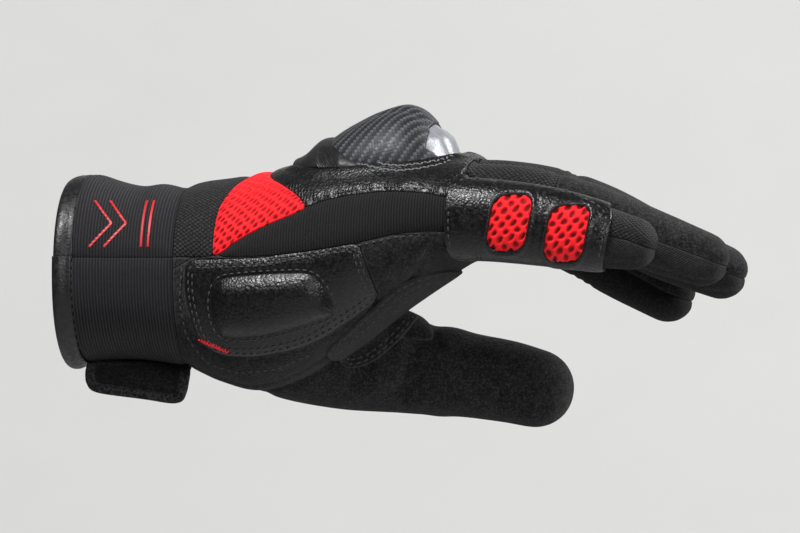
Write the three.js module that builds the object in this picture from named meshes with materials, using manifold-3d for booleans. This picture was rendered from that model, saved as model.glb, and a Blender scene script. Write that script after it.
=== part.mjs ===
// Summer motorcycle glove for the right hand, in the shape it has when worn.
// Millimetres. +X runs from the cuff's mouth to the fingertips, +Z out of the back of the hand and
// +Y to the thumb. The origin is the centre of the cuff's mouth.
import * as THREE from 'three';
import { mergeVertices } from 'three/addons/utils/BufferGeometryUtils.js';
import Module from 'manifold-3d';

const wasm = await Module();
wasm.setup();

// Cloth
const wall = 1.6; // cloth, suede and leather of the glove
const gap = 0.3; // between neighbouring pieces
const half = gap / 2;
const step = 0.08; // keeps a cut that follows a surface off that surface
const overlay = 1.3; // leather laid over the little finger
const padRise = 2.6; // raised pad on the heel of the palm
const tackRise = 0.8; // row of thread across the heel's corner
const tongueThick = 1.2;

// Places along and round the hand
const mouthX = 0;
const bindingWidth = 5;
const wristX = 41; // where the ribbed cuff ends
const cuffSeamZ = 5.5; // side seam between the cuff's upper and lower halves
const crotchX = 141.8; // past the palm's end, where the fingers part
const overlayStartX = 146; // the little finger's leather lies on the palm up to here
const redEndY = 14; // the red mesh reaches this far over the back
const heelEndY = -10; // the pad and the thread stay on the near side of this
const sideSuedeY = -14;
const tongueEndY = 30;
const overlayY = -31;
const ventY = -36;

// Resolution and squareness of the sections, 2 being an ellipse
const bodySides = 24;
const fingerSides = 12;
const guardSides = 24;
const tipSteps = [32, 62]; // degrees round a finger's end
const bodySquare = 2.25;
const fingerSquare = 2.35;

// Reach of cutting shapes past the glove
const beyond = 200;
const skyZ = 80;
const pastMouth = 12;
const tipReach = 40;
const tipDrop = 16;

// One row for each section of the palm and cuff: the width from the little finger's side to the
// thumb's, the heights over and under, and the height of the widest point on each side.
const palmRows = [
  { x: 0, near: -37, far: 37, top: 30.4, bottom: -30.5, nearMid: 0, farMid: 0 },
  { x: 8, near: -36, far: 36, top: 32.0, bottom: -29.0, nearMid: 0, farMid: 0 },
  { x: 24, near: -35, far: 35, top: 28.4, bottom: -28.4, nearMid: 0, farMid: 0 },
  { x: 41, near: -35, far: 35, top: 28.8, bottom: -31.2, nearMid: 0, farMid: 0 },
  { x: 52, near: -37, far: 37, top: 30.6, bottom: -35.8, nearMid: -2, farMid: -2 },
  { x: 66, near: -40, far: 40, top: 33.0, bottom: -38.8, nearMid: -2, farMid: 0 },
  { x: 82, near: -42, far: 42, top: 37.0, bottom: -33.5, nearMid: 1, farMid: 3 },
  { x: 98, near: -43, far: 43, top: 40.0, bottom: -23.0, nearMid: 7, farMid: 9 },
  { x: 114, near: -44, far: 44, top: 40.8, bottom: -11.0, nearMid: 13, farMid: 15 },
  { x: 128, near: -44, far: 44, top: 40.2, bottom: -1.5, nearMid: 17.5, farMid: 20 },
  { x: 140, near: -43, far: 43, top: 39.2, bottom: 6.0, nearMid: 18.5, farMid: 21 },
];
const palmEndX = palmRows[palmRows.length - 1].x;

// One row for each section along a finger's or the thumb's middle line. Half sizes: wide along Y,
// high across the finger.
const digits = {
  pinky: [
    { x: 118, y: -32, z: 20, wide: 10.0, high: 11.0 },
    { x: 137, y: -33.5, z: 18.6, wide: 10.0, high: 11.2 },
    { x: 152, y: -34, z: 18.0, wide: 10.0, high: 11.0 },
    { x: 170, y: -34, z: 16.0, wide: 9.9, high: 10.6 },
    { x: 187, y: -33.5, z: 12.8, wide: 9.3, high: 9.4 },
    { x: 200, y: -33, z: 10.2, wide: 8.0, high: 7.6 },
  ],
  ring: [
    { x: 118, y: -11, z: 25, wide: 9.4, high: 11.0 },
    { x: 140, y: -11.4, z: 25.6, wide: 9.4, high: 10.4 },
    { x: 160, y: -11.6, z: 25.2, wide: 9.3, high: 9.8 },
    { x: 180, y: -11.6, z: 20.4, wide: 9.2, high: 9.4 },
    { x: 202, y: -11.4, z: 11.8, wide: 9.0, high: 9.0 },
    { x: 221, y: -11, z: 4.8, wide: 8.0, high: 7.8 },
  ],
  middle: [
    { x: 118, y: 11, z: 25, wide: 9.4, high: 11.0 },
    { x: 140, y: 11.2, z: 26.6, wide: 9.4, high: 11.0 },
    { x: 162, y: 11.2, z: 25.4, wide: 9.3, high: 10.0 },
    { x: 182, y: 11.0, z: 19.4, wide: 9.2, high: 9.6 },
    { x: 204, y: 10.8, z: 8.4, wide: 9.0, high: 9.0 },
    { x: 224, y: 10.6, z: 0.4, wide: 8.0, high: 7.8 },
  ],
  index: [
    { x: 118, y: 33, z: 23, wide: 9.6, high: 11.2 },
    { x: 138, y: 33.2, z: 22.4, wide: 9.6, high: 10.8 },
    { x: 155, y: 33.4, z: 18.2, wide: 9.5, high: 10.2 },
    { x: 171, y: 33.2, z: 10.4, wide: 9.4, high: 9.6 },
    { x: 186, y: 32.8, z: 1.4, wide: 9.0, high: 9.0 },
    { x: 202, y: 32.4, z: -7.4, wide: 8.2, high: 8.0 },
  ],
  thumb: [
    { x: 52, y: 14, z: -15, wide: 22, high: 15 },
    { x: 70, y: 20, z: -21, wide: 21, high: 20 },
    { x: 92, y: 27, z: -27, wide: 18, high: 19 },
    { x: 112, y: 32, z: -32, wide: 14.5, high: 15.2 },
    { x: 130, y: 34, z: -35, wide: 12.6, high: 13.2 },
    { x: 145, y: 35, z: -37.4, wide: 12.0, high: 12.6 },
    { x: 155, y: 35.5, z: -39.8, wide: 11.4, high: 12.0 },
  ],
  web: [
    { x: 94, y: 25, z: -19.0, wide: 12.0, high: 8.0 },
    { x: 105, y: 28, z: -19.5, wide: 10.5, high: 7.0 },
    { x: 119, y: 30, z: -21.5, wide: 8.5, high: 5.5 },
  ],
};

// Each finger lies between two planes along Y, and its back changes cloth at backEnd
const fingers = [
  { name: 'pinky', low: -beyond, high: -22.2, backEnd: 190, cap: 'pinky_tip' },
  { name: 'ring', low: -22.2, high: 0, backEnd: 172, cap: 'ring_cap' },
  { name: 'middle', low: 0, high: 22.2, backEnd: 174, cap: 'middle_cap' },
  { name: 'index', low: 22.2, high: beyond, backEnd: 164, cap: 'index_cap' },
];
const backLift = 1; // the seam between a finger's back and its palm runs this far over the middle

// Knuckle guard's shell, one row for each section along it
const shellRows = [
  { x: 86, wide: 13, top: 41.5 },
  { x: 92, wide: 21, top: 47.0 },
  { x: 99, wide: 25.5, top: 51.2 },
  { x: 107, wide: 27.5, top: 55.2 },
  { x: 117, wide: 28, top: 57.7 },
  { x: 122.5, wide: 27, top: 55.6 },
  { x: 127.5, wide: 24, top: 50.6 },
  { x: 134, wide: 16, top: 43.8 },
];
// Rubber rim behind and beside the shell
const rimRows = [
  { x: 78, wide: 11, top: 39.2 },
  { x: 82.5, wide: 18, top: 41.4 },
  { x: 88, wide: 23.5, top: 46.2 },
  { x: 94, wide: 27, top: 46.6 },
  { x: 101, wide: 28.5, top: 45.0 },
];
const guardFoot = 36; // height of the sections' widest points
const guardWall = 2.2;
const noseX = 126.5; // the bright front part starts here

// Strap that closes the cuff on the palm side. Its free end is one row for each step of its middle
// line, and bends away from the cuff.
const strap = { fromX: 12, toX: 37, thick: 1.8, edgeY: -4, topZ: -8 };
const tabThick = 2.4;
const tabRows = [
  { y: -4.9, z: -32.0 },
  { y: -8.0, z: -33.3 },
  { y: -10.4, z: -35.8 },
  { y: -11.5, z: -39.3 },
  { y: -11.8, z: -46 },
];

// Two mesh windows in the little finger's leather
const vents = [
  { name: 'pinky_vent_1', x: 160.0, z: 17.4 },
  { name: 'pinky_vent_2', x: 180.6, z: 13.8 },
];
const vent = { length: 11.2, height: 17.6, corner: 4, lean: 0.28, arcSteps: 3 };

// Seams as X and Z in the side view
const redBack = [
  [55.2, 5.7], [55, 12], [55.4, 19.6], [56.1, 24.1], [59.3, 30.7], [61.5, 32.6], [63, 36],
  [63, skyZ],
];
const redFront = [[69, skyZ], [69, 35.5], [72, 33.2], [77.9, 30.7], [84, 27.2], [87.9, 22.9]];
const redFoot = [[82.1, 20.1], [75.7, 17.6], [68.6, 14.2], [62.4, 10.5], [58.8, 7.4]];
const leatherEdge = [[94, 25.5], [104, 27.4], [116, 28.6], [130, 28], [136.5, 26.4], [160, 26.4]];
const sideSeam = [[160, 14], [132, 14], [121, 13.4], [108, 10.5], [92, 7.8], [74, 5.8]];
const turned = (seam) => [...seam].reverse();

const outlines = {
  redMesh: [...redBack, ...redFront, ...redFoot],
  wristMesh: [
    [wristX, cuffSeamZ], redBack[0], ...turned(redFoot), ...turned(redFront), [wristX, skyZ],
  ],
  backLeather: [...redFront, ...leatherEdge, [160, skyZ]],
  stretch: [redBack[0], ...turned(redFoot), redFront.at(-1), ...leatherEdge, ...sideSeam],
  heelLeather: [
    [45.5, 4.6], [60, 5.0], [74, 5.4], [84, 7.6], [107, 11.2], [110, 2], [113, -9.5],
    [104, -15.5], [93, -22.5], [84, -26.6], [70, -29.4], [57, -29.0], [49, -24.5], [45.2, -8],
  ],
  heelPad: [
    [56, -4], [59, -1.4], [74, -0.2], [90, 0.4], [94, -2.5], [98, -10], [97, -14.5],
    [86, -18.5], [72, -22], [58.5, -22.4], [55.2, -17], [54.6, -10],
  ],
  barTack: [[49.8, -22.0], [60.2, -26.4], [59.6, -28.0], [49.2, -23.6]],
  sideSuede: [
    [40, 5.2], [136, 15], [127, 2], [120, -6], [108, -17], [96, -27.5], [84, -34], [66, -45],
    [40, -45],
  ],
  tongue: [
    [91, -29.5], [91.2, -27.4], [93.4, -25], [98.6, -20.8], [108.4, -12.8], [117.2, -5.2],
    [124, -1.6], [136, 2], [136, -6], [121, -11.5], [116, -15.5], [113.5, -19.7],
    [110.4, -23.8], [105, -28.6], [100.2, -31.7], [95, -33], [91.8, -32],
  ],
  tab: [
    [5.6, -30], [5.6, -36.6], [7.4, -40.2], [11, -41.6], [27.7, -43.6], [36.4, -45.1],
    [40, -44.2], [41.6, -40.2], [42.2, -33.8], [41, -30],
  ],
  pinkyOverlay: [
    [137.5, 27.5], [140, 33.5], [152, 34], [176, 31], [196.5, 22], [195, 10], [190.5, -4],
    [168, -2], [152, 2], [140, 3], [137, 9],
  ],
};

// Signed power that squares off a circle's sine or cosine
const squared = (v, squareness) => Math.sign(v) * Math.abs(v) ** (2 / squareness);

// A closed solid through sections of equal point count, with a point at the middle of each end
function loft(rings) {
  const sides = rings[0].length;
  const points = rings.flat();
  const faces = [];
  for (let r = 0; r < rings.length - 1; r += 1) {
    for (let i = 0; i < sides; i += 1) {
      const a = r * sides + i;
      const b = r * sides + ((i + 1) % sides);
      faces.push([a, b, b + sides], [a, b + sides, a + sides]);
    }
  }
  const middle = (ring) => ring[0].map((_, k) => ring.reduce((sum, p) => sum + p[k], 0) / sides);
  const last = (rings.length - 1) * sides;
  const startPoint = points.push(middle(rings[0])) - 1;
  const endPoint = points.push(middle(rings[rings.length - 1])) - 1;
  for (let i = 0; i < sides; i += 1) {
    const next = (i + 1) % sides;
    faces.push([startPoint, next, i], [endPoint, last + i, last + next]);
  }
  const mesh = new wasm.Mesh({
    numProp: 3,
    vertProperties: new Float32Array(points.flat()),
    triVerts: new Uint32Array(faces.flat()),
  });
  const solid = new wasm.Manifold(mesh);
  if (solid.volume() > 0) return solid;
  mesh.triVerts = new Uint32Array(faces.map(([a, b, c]) => [a, c, b]).flat());
  return new wasm.Manifold(mesh);
}

// The palm and cuff, every section larger by grow, with its two ends where they are asked for
function palm(grow, startX, endX) {
  const lastIndex = palmRows.length - 1;
  const rings = palmRows.map((row, index) => {
    const ring = [];
    const halfWidth = (row.far - row.near) / 2 + grow;
    const centreY = (row.far + row.near) / 2;
    const centreZ = (row.nearMid + row.farMid) / 2;
    let { x } = row;
    if (index === 0) x = startX;
    if (index === lastIndex) x = endX;
    for (let i = 0; i < bodySides; i += 1) {
      const angle = (2 * Math.PI * i) / bodySides;
      const across = squared(Math.cos(angle), bodySquare);
      const up = squared(Math.sin(angle), bodySquare);
      const midZ = centreZ + ((row.farMid - row.nearMid) / 2) * across;
      const height = (up > 0 ? row.top - centreZ : centreZ - row.bottom) + grow;
      ring.push([x, centreY + halfWidth * across, midZ + height * up]);
    }
    return ring;
  });
  return loft(rings);
}

// A finger or the thumb: sections square to its middle line, then a rounded end
function digit(name, grow) {
  const rows = digits[name];
  const section = (row, tilt, shrink, forward) => {
    const ring = [];
    for (let i = 0; i < fingerSides; i += 1) {
      const angle = (2 * Math.PI * i) / fingerSides;
      const across = squared(Math.cos(angle), fingerSquare) * (row.wide + grow) * shrink;
      const up = squared(Math.sin(angle), fingerSquare) * (row.high + grow) * shrink;
      const x = row.x + forward * Math.cos(tilt) - up * Math.sin(tilt);
      const z = row.z + forward * Math.sin(tilt) + up * Math.cos(tilt);
      ring.push([x, row.y + across, z]);
    }
    return ring;
  };
  const tilts = rows.map((row, i) => {
    const before = rows[Math.max(i - 1, 0)];
    const after = rows[Math.min(i + 1, rows.length - 1)];
    return Math.atan2(after.z - before.z, after.x - before.x);
  });
  const rings = rows.map((row, i) => section(row, tilts[i], 1, 0));
  const lastRow = rows[rows.length - 1];
  const lastTilt = tilts[rows.length - 1];
  for (const degrees of tipSteps) {
    const angle = THREE.MathUtils.degToRad(degrees);
    const reach = (lastRow.high + grow) * Math.sin(angle);
    rings.push(section(lastRow, lastTilt, Math.cos(angle), reach));
  }
  return loft(rings);
}

// Everything that the glove's outside encloses, larger by grow
function hand(grow, startX = mouthX) {
  let solid = palm(grow, startX, palmEndX + grow);
  for (const name of Object.keys(digits)) solid = solid.add(digit(name, grow));
  return solid;
}

// A dome of the guard, larger by grow
function dome(rows, grow) {
  const lastIndex = rows.length - 1;
  const rings = rows.map((row, index) => {
    const ring = [];
    let { x } = row;
    if (index === 0) x -= grow;
    if (index === lastIndex) x += grow;
    for (let i = 0; i < guardSides; i += 1) {
      const angle = (2 * Math.PI * i) / guardSides;
      const y = Math.cos(angle) * (row.wide + grow);
      const z = guardFoot + Math.sin(angle) * (row.top + grow - guardFoot);
      ring.push([x, y, z]);
    }
    return ring;
  });
  return loft(rings);
}

function solidOf(geometry) {
  const bare = geometry.clone();
  bare.deleteAttribute('normal');
  bare.deleteAttribute('uv');
  const merged = mergeVertices(bare, 1e-4);
  const mesh = new wasm.Mesh({
    numProp: 3,
    vertProperties: new Float32Array(merged.attributes.position.array),
    triVerts: new Uint32Array(merged.index.array),
  });
  return new wasm.Manifold(mesh);
}

// Moves every side of an outline outwards by the distance, or inwards where it is below zero
function offsetOutline(outline, distance) {
  const sharpest = 0.4; // a sharp corner moves no further than distance over this
  const points = outline.map(([x, y]) => new THREE.Vector2(x, y));
  const turn = THREE.ShapeUtils.isClockWise(points) ? -1 : 1;
  return points.map((point, i) => {
    const before = points[(i + points.length - 1) % points.length];
    const after = points[(i + 1) % points.length];
    const inward = point.clone().sub(before).normalize();
    const outward = after.clone().sub(point).normalize();
    const normalA = new THREE.Vector2(inward.y, -inward.x);
    const normalB = new THREE.Vector2(outward.y, -outward.x);
    const bisector = normalA.add(normalB).normalize();
    const stretch = Math.max(bisector.dot(normalB), sharpest);
    const moved = point.clone().addScaledVector(bisector, (turn * distance) / stretch);
    return [moved.x, moved.y];
  });
}

// A side-view outline of X and Z, extruded along Y between the two bounds
function sidePrism(outline, fromY, toY, distance = 0) {
  const moved = offsetOutline(outline, distance).map(([x, z]) => new THREE.Vector2(x, z));
  const geometry = new THREE.ExtrudeGeometry(new THREE.Shape(moved), {
    depth: toY - fromY,
    bevelEnabled: false,
  });
  geometry.rotateX(Math.PI / 2);
  geometry.translate(0, toY, 0);
  return solidOf(geometry);
}

function block(low, high) {
  const size = high.map((v, k) => v - low[k]);
  const geometry = new THREE.BoxGeometry(...size);
  geometry.translate(...high.map((v, k) => (v + low[k]) / 2));
  return solidOf(geometry);
}

function largest(solid) {
  const bodies = solid.decompose();
  return bodies.reduce((best, body) => (body.volume() > best.volume() ? body : best));
}

// The wall of the whole glove is open at the cuff's mouth. Panels are cut from it one after another.
let rest = hand(wall).subtract(hand(0, mouthX - pastMouth));
const pieces = {};

function cut(name, region, grownRegion) {
  pieces[name] = largest(rest.intersect(region));
  rest = rest.subtract(grownRegion);
}

function cutOutline(name, outline, fromY, toY) {
  const region = sidePrism(outline, fromY, toY - half, -half);
  const grown = sidePrism(outline, fromY, toY + half, half);
  cut(name, region, grown);
}

function cutBlock(name, low, high) {
  const region = block(low.map((v) => v + half), high.map((v) => v - half));
  const grown = block(low.map((v) => v - half), high.map((v) => v + half));
  cut(name, region, grown);
}

function cutCuff() {
  cutBlock('cuff_binding_upper', [-beyond, -beyond, cuffSeamZ], [bindingWidth, beyond, beyond]);
  cutBlock('cuff_binding_lower', [-beyond, -beyond, -beyond], [bindingWidth, beyond, cuffSeamZ]);
  cutBlock('cuff_upper', [bindingWidth, -beyond, cuffSeamZ], [wristX, beyond, beyond]);
  cutBlock('cuff_lower', [bindingWidth, -beyond, -beyond], [wristX, beyond, cuffSeamZ]);
}

// A finger's back, its cap and its palm side
function cutFinger({ name, low, high, backEnd, cap }, thumbKeep) {
  const rows = digits[name];
  const end = rows[rows.length - 1];
  const line = rows.map((row) => [row.x, row.z + backLift]);
  const tail = [end.x + tipReach, end.z + backLift - tipDrop];
  const over = [...line, tail, [tail[0], beyond], [rows[0].x, beyond]];
  const back = sidePrism(over, low + half, high - half, -half);
  const backGrown = sidePrism(over, low - half, high + half, half);
  const slice = (fromX, toX) => block([fromX, low, -beyond], [toX, high, beyond]);
  cut(
    `${name}_back`,
    back.intersect(slice(crotchX + half, backEnd - half)),
    backGrown.intersect(slice(crotchX - half, backEnd + half)),
  );
  cut(
    cap,
    back.intersect(slice(backEnd + half, beyond * 2)),
    backGrown.intersect(slice(backEnd - half, beyond * 2)),
  );
  const under = block([crotchX + half, low + half, -beyond], [beyond * 2, high - half, beyond]);
  const underGrown = block([crotchX - half, low - half, -beyond], [beyond * 2, high + half, beyond]);
  cut(`${name}_palm`, under.subtract(thumbKeep), underGrown.subtract(thumbKeep));
}

// The thumb where it stands clear of the palm, and the gusset between them
function cutThumb(thumbKeep) {
  const past = 1; // a cutting shape's reach over the wall, doubled for the grown one
  const body = palm(wall + gap + step, mouthX - pastMouth, palmEndX + wall);
  const bodyGrown = palm(wall + step, mouthX - pastMouth, palmEndX + wall);
  cut(
    'thumb',
    digit('thumb', wall + past).subtract(body),
    digit('thumb', wall + 2 * past).subtract(bodyGrown),
  );
  cut(
    'thumb_gusset',
    digit('web', wall + past).subtract(body).subtract(thumbKeep),
    digit('web', wall + 2 * past).subtract(bodyGrown).subtract(digit('thumb', wall + step)),
  );
}

function cutBackAndSides() {
  cutOutline('red_mesh', outlines.redMesh, -beyond, redEndY);
  cutOutline('wrist_mesh', outlines.wristMesh, -beyond, beyond);
  cutOutline('back_leather', outlines.backLeather, -beyond, beyond);
  cutOutline('stretch_outer', outlines.stretch, -beyond, 0);
  cutOutline('stretch_inner', outlines.stretch, 0, beyond);
  cutOutline('heel_leather', outlines.heelLeather, -beyond, 0);
  cutOutline('side_suede', outlines.sideSuede, -beyond, sideSuedeY);
  pieces.palm_suede = largest(rest);
}

// Pieces laid on over the wall: from the gap up, as thick as given
function addLayer(name, thickness, outline, toY) {
  const under = hand(wall + gap, mouthX - pastMouth);
  const skin = hand(wall + gap + thickness).subtract(under);
  pieces[name] = largest(skin.intersect(sidePrism(outline, -beyond, toY)));
}

function addStrap() {
  const under = palm(wall + gap, mouthX - pastMouth, crotchX + pastMouth);
  const band = palm(wall + gap + strap.thick, mouthX, crotchX).subtract(under);
  const reach = block([strap.fromX, strap.edgeY, -beyond], [strap.toX, beyond, strap.topZ]);
  pieces.wrist_strap = largest(band.intersect(reach));
  const side = (sign) => tabRows.map((row, i) => {
    const before = tabRows[Math.max(i - 1, 0)];
    const after = tabRows[Math.min(i + 1, tabRows.length - 1)];
    const along = new THREE.Vector2(after.y - before.y, after.z - before.z).normalize();
    const out = (sign * tabThick) / 2;
    return new THREE.Vector2(row.y - along.y * out, row.z + along.x * out);
  });
  const section = new THREE.Shape([...side(1), ...side(-1).reverse()]);
  const geometry = new THREE.ExtrudeGeometry(section, { depth: beyond, bevelEnabled: false });
  // The section's two axes and its depth become Y, Z and X
  const turn = new THREE.Matrix4();
  turn.makeBasis(
    new THREE.Vector3(0, 1, 0),
    new THREE.Vector3(0, 0, 1),
    new THREE.Vector3(1, 0, 0),
  );
  geometry.applyMatrix4(turn);
  const tab = solidOf(geometry).subtract(under);
  pieces.strap_tab = largest(tab.intersect(sidePrism(outlines.tab, -beyond, beyond)));
}

function ventOutline({ x, z }) {
  const corners = [[1, 1], [-1, 1], [-1, -1], [1, -1]];
  const points = [];
  corners.forEach(([sideX, sideZ], c) => {
    for (let s = 0; s <= vent.arcSteps; s += 1) {
      const angle = (Math.PI / 2) * (c + s / vent.arcSteps);
      const across = sideX * (vent.length / 2 - vent.corner) + vent.corner * Math.cos(angle);
      const up = sideZ * (vent.height / 2 - vent.corner) + vent.corner * Math.sin(angle);
      points.push([x + across + vent.lean * up, z + up]);
    }
  });
  return points;
}

// Leather over the little finger, open at the two mesh windows
function addPinkyOverlay() {
  const from = wall + gap;
  const band = digit('pinky', from + overlay).subtract(digit('pinky', from));
  const palmSide = hand(from).intersect(block([0, -beyond, -beyond], [overlayStartX, beyond, beyond]));
  let leather = band.intersect(sidePrism(outlines.pinkyOverlay, -beyond, overlayY));
  leather = leather.subtract(palmSide);
  for (const place of vents) {
    const outline = ventOutline(place);
    pieces[place.name] = largest(band.intersect(sidePrism(outline, -beyond, ventY, -half)));
    leather = leather.subtract(sidePrism(outline, -beyond, ventY, half));
  }
  pieces.pinky_overlay = largest(leather);
}

function addGuard() {
  const seat = hand(wall + gap);
  const shell = dome(shellRows, 0).subtract(dome(shellRows, -guardWall)).subtract(seat);
  const front = block([noseX + half, -beyond, 0], [beyond, beyond, beyond]);
  const frontGrown = block([noseX - half, -beyond, 0], [beyond, beyond, beyond]);
  pieces.guard_nose = largest(shell.intersect(front));
  pieces.guard_shell = largest(shell.subtract(frontGrown));
  const rim = dome(rimRows, 0).subtract(dome(shellRows, gap)).subtract(seat);
  pieces.guard_rim = largest(rim);
}

const clearThumb = digit('thumb', wall + gap + step);
cutCuff();
for (const finger of fingers) cutFinger(finger, clearThumb);
cutThumb(clearThumb);
cutBackAndSides();
addLayer('heel_pad', padRise, outlines.heelPad, heelEndY);
addLayer('bar_tack', tackRise, outlines.barTack, heelEndY);
addLayer('palm_tongue', tongueThick, outlines.tongue, tongueEndY);
addStrap();
addPinkyOverlay();
addGuard();

const looks = {
  binding: { color: 0x141415, roughness: 0.45 },
  knit: { color: 0x2b292d, roughness: 0.95 },
  mesh: { color: 0x0e0e0f, roughness: 0.9 },
  red: { color: 0xe31822, roughness: 0.75 },
  leather: { color: 0x17171a, roughness: 0.45 },
  stretch: { color: 0x1b1b1d, roughness: 0.9 },
  suede: { color: 0x1c1c1d, roughness: 0.98 },
  shell: { color: 0x35373a, roughness: 0.35 },
  silver: { color: 0xb9bdc2, roughness: 0.3, metalness: 0.4 },
  rubber: { color: 0x101011, roughness: 0.6 },
};
const nodesOfLook = {
  binding: ['cuff_binding_upper', 'cuff_binding_lower', 'wrist_strap', 'strap_tab'],
  knit: ['cuff_upper', 'cuff_lower'],
  mesh: ['wrist_mesh', 'pinky_back', 'pinky_tip', 'ring_back', 'middle_back', 'index_back'],
  red: ['red_mesh', 'pinky_vent_1', 'pinky_vent_2', 'bar_tack'],
  leather: ['back_leather', 'heel_leather', 'heel_pad', 'pinky_overlay'],
  stretch: ['stretch_outer', 'stretch_inner'],
  shell: ['guard_shell'],
  silver: ['guard_nose'],
  rubber: ['guard_rim'],
};

function lookOf(name) {
  const found = Object.keys(nodesOfLook).find((key) => nodesOfLook[key].includes(name));
  return looks[found ?? 'suede'];
}

function meshOf(name, solid) {
  const { numProp, vertProperties, triVerts } = solid.getMesh();
  const count = vertProperties.length / numProp;
  const positions = new Float32Array(count * 3);
  for (let i = 0; i < count; i += 1) {
    for (let k = 0; k < 3; k += 1) positions[i * 3 + k] = vertProperties[i * numProp + k];
  }
  const geometry = new THREE.BufferGeometry();
  geometry.setAttribute('position', new THREE.BufferAttribute(positions, 3));
  geometry.setIndex(new THREE.BufferAttribute(new Uint32Array(triVerts), 1));
  const mesh = new THREE.Mesh(geometry, new THREE.MeshStandardMaterial(lookOf(name)));
  mesh.name = name;
  return mesh;
}

const glove = new THREE.Group();
for (const [name, solid] of Object.entries(pieces)) glove.add(meshOf(name, solid));
export default glove;
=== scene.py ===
import math
import bpy
import numpy as np
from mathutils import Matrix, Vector
from mathutils.bvhtree import BVHTree
from mathutils.kdtree import KDTree


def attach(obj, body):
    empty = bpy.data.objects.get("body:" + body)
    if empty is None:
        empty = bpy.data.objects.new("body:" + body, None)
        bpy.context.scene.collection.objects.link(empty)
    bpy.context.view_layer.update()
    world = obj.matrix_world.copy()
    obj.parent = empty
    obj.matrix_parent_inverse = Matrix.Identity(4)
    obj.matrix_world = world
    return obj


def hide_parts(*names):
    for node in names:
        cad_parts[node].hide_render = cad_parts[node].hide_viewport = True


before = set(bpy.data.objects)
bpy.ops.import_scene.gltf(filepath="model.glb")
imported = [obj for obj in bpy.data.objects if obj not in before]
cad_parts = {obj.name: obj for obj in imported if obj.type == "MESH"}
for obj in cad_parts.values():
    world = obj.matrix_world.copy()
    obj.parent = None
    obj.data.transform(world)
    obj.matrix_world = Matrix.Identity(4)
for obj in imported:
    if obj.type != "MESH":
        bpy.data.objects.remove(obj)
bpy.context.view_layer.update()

# Right glove in its worn shape: +X to the fingertips, +Y to the thumb, +Z out of the back.
# Shape work is in millimetres and becomes metres when an object is made.
mm = 0.001
bodyName = "root"

cloth = {
    "wall": 1.6,  # outside of the cloth, over the hand
    "thick": 1.3,  # of each panel
    "voxel": 1.25,  # grain of the sewn surface
    "smoothing": 5,
    "seamDepth": 0.7,  # how far a seam pulls in
    "seamWidth": 2.0,
    "edgeRound": 0.6,
    "edgeRings": (0.35, 1.0, 2.4),  # rings of points beside an edge, in edge rounds
    "backFollows": 0.35,  # how much of the face's height the back of the cloth takes up
}
wristX = 41.0  # where the cuff meets the hand
crotchX = 141.8  # where the fingers part
webEndX = 124.5  # front of the gusset beside the thumb
cuffSeamZ = 5.5
bindingX = 5.0
nearestY = -200  # nearer than any point of the glove
aboveAll = 80  # and higher, where a cut runs over the back

# x, near side y, far side y, top, bottom, near and far heights of the widest point
palmTable = np.array([
    [0, -37, 37, 30.4, -30.5, 0, 0],
    [8, -36, 36, 32.0, -29.0, 0, 0],
    [24, -35, 35, 28.4, -28.4, 0, 0],
    [41, -35, 35, 28.8, -31.2, 0, 0],
    [52, -37, 37, 30.6, -35.8, -2, -2],
    [66, -40, 40, 33.0, -38.8, -2, 0],
    [82, -42, 42, 37.0, -33.5, 1, 3],
    [98, -43, 43, 40.0, -23.0, 7, 9],
    [114, -44, 44, 40.8, -11.0, 13, 15],
    [128, -44, 44, 40.2, -1.5, 17.5, 20],
    [140, -43, 43, 39.2, 6.0, 18.5, 21],
], float)
# x, y, z of the middle line, half width, half height
digitTables = {
    "pinky": [
        [118, -32, 20, 10.0, 11.0], [137, -33.5, 18.6, 10.0, 11.2], [152, -34, 18.0, 10.0, 11.0],
        [170, -34, 16.0, 9.9, 10.6], [187, -33.5, 12.8, 9.3, 9.4], [200, -33, 10.2, 8.0, 7.6],
    ],
    "ring": [
        [118, -11, 25, 9.4, 11.0], [140, -11.4, 25.6, 9.4, 10.4], [160, -11.6, 25.2, 9.3, 9.8],
        [180, -11.6, 20.4, 9.2, 9.4], [202, -11.4, 11.8, 9.0, 9.0], [221, -11, 4.8, 8.0, 7.8],
    ],
    "middle": [
        [118, 11, 25, 9.4, 11.0], [140, 11.2, 26.6, 9.4, 11.0], [162, 11.2, 25.4, 9.3, 10.0],
        [182, 11.0, 19.4, 9.2, 9.6], [204, 10.8, 8.4, 9.0, 9.0], [224, 10.6, 0.4, 8.0, 7.8],
    ],
    "index": [
        [118, 33, 23, 9.6, 11.2], [138, 33.2, 22.4, 9.6, 10.8], [155, 33.4, 18.2, 9.5, 10.2],
        [171, 33.2, 10.4, 9.4, 9.6], [186, 32.8, 1.4, 9.0, 9.0], [202, 32.4, -7.4, 8.2, 8.0],
    ],
    "thumb": [
        [52, 14, -15, 22, 15], [70, 20, -21, 21, 20], [92, 27, -27, 18, 19],
        [112, 32, -32, 14.5, 15.2], [130, 34, -35, 12.6, 13.2], [145, 35, -37.4, 12.0, 12.6],
        [155, 35.5, -39.8, 11.4, 12.0],
    ],
    "web": [
        [94, 25, -19.0, 12.0, 8.0], [105, 28, -19.5, 10.5, 7.0], [117, 30, -23.4, 8.5, 5.5],
        [127, 31, -29.0, 7.0, 4.6],
    ],
}
fingerBounds = {
    "pinky": (nearestY, -22.2), "ring": (-22.2, 0), "middle": (0, 22.2), "index": (22.2, -nearestY),
}
backSplits = {"pinky": 190, "ring": 172, "middle": 174, "index": 164}
palmSquare = 2.25
digitSquare = 2.35

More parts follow.
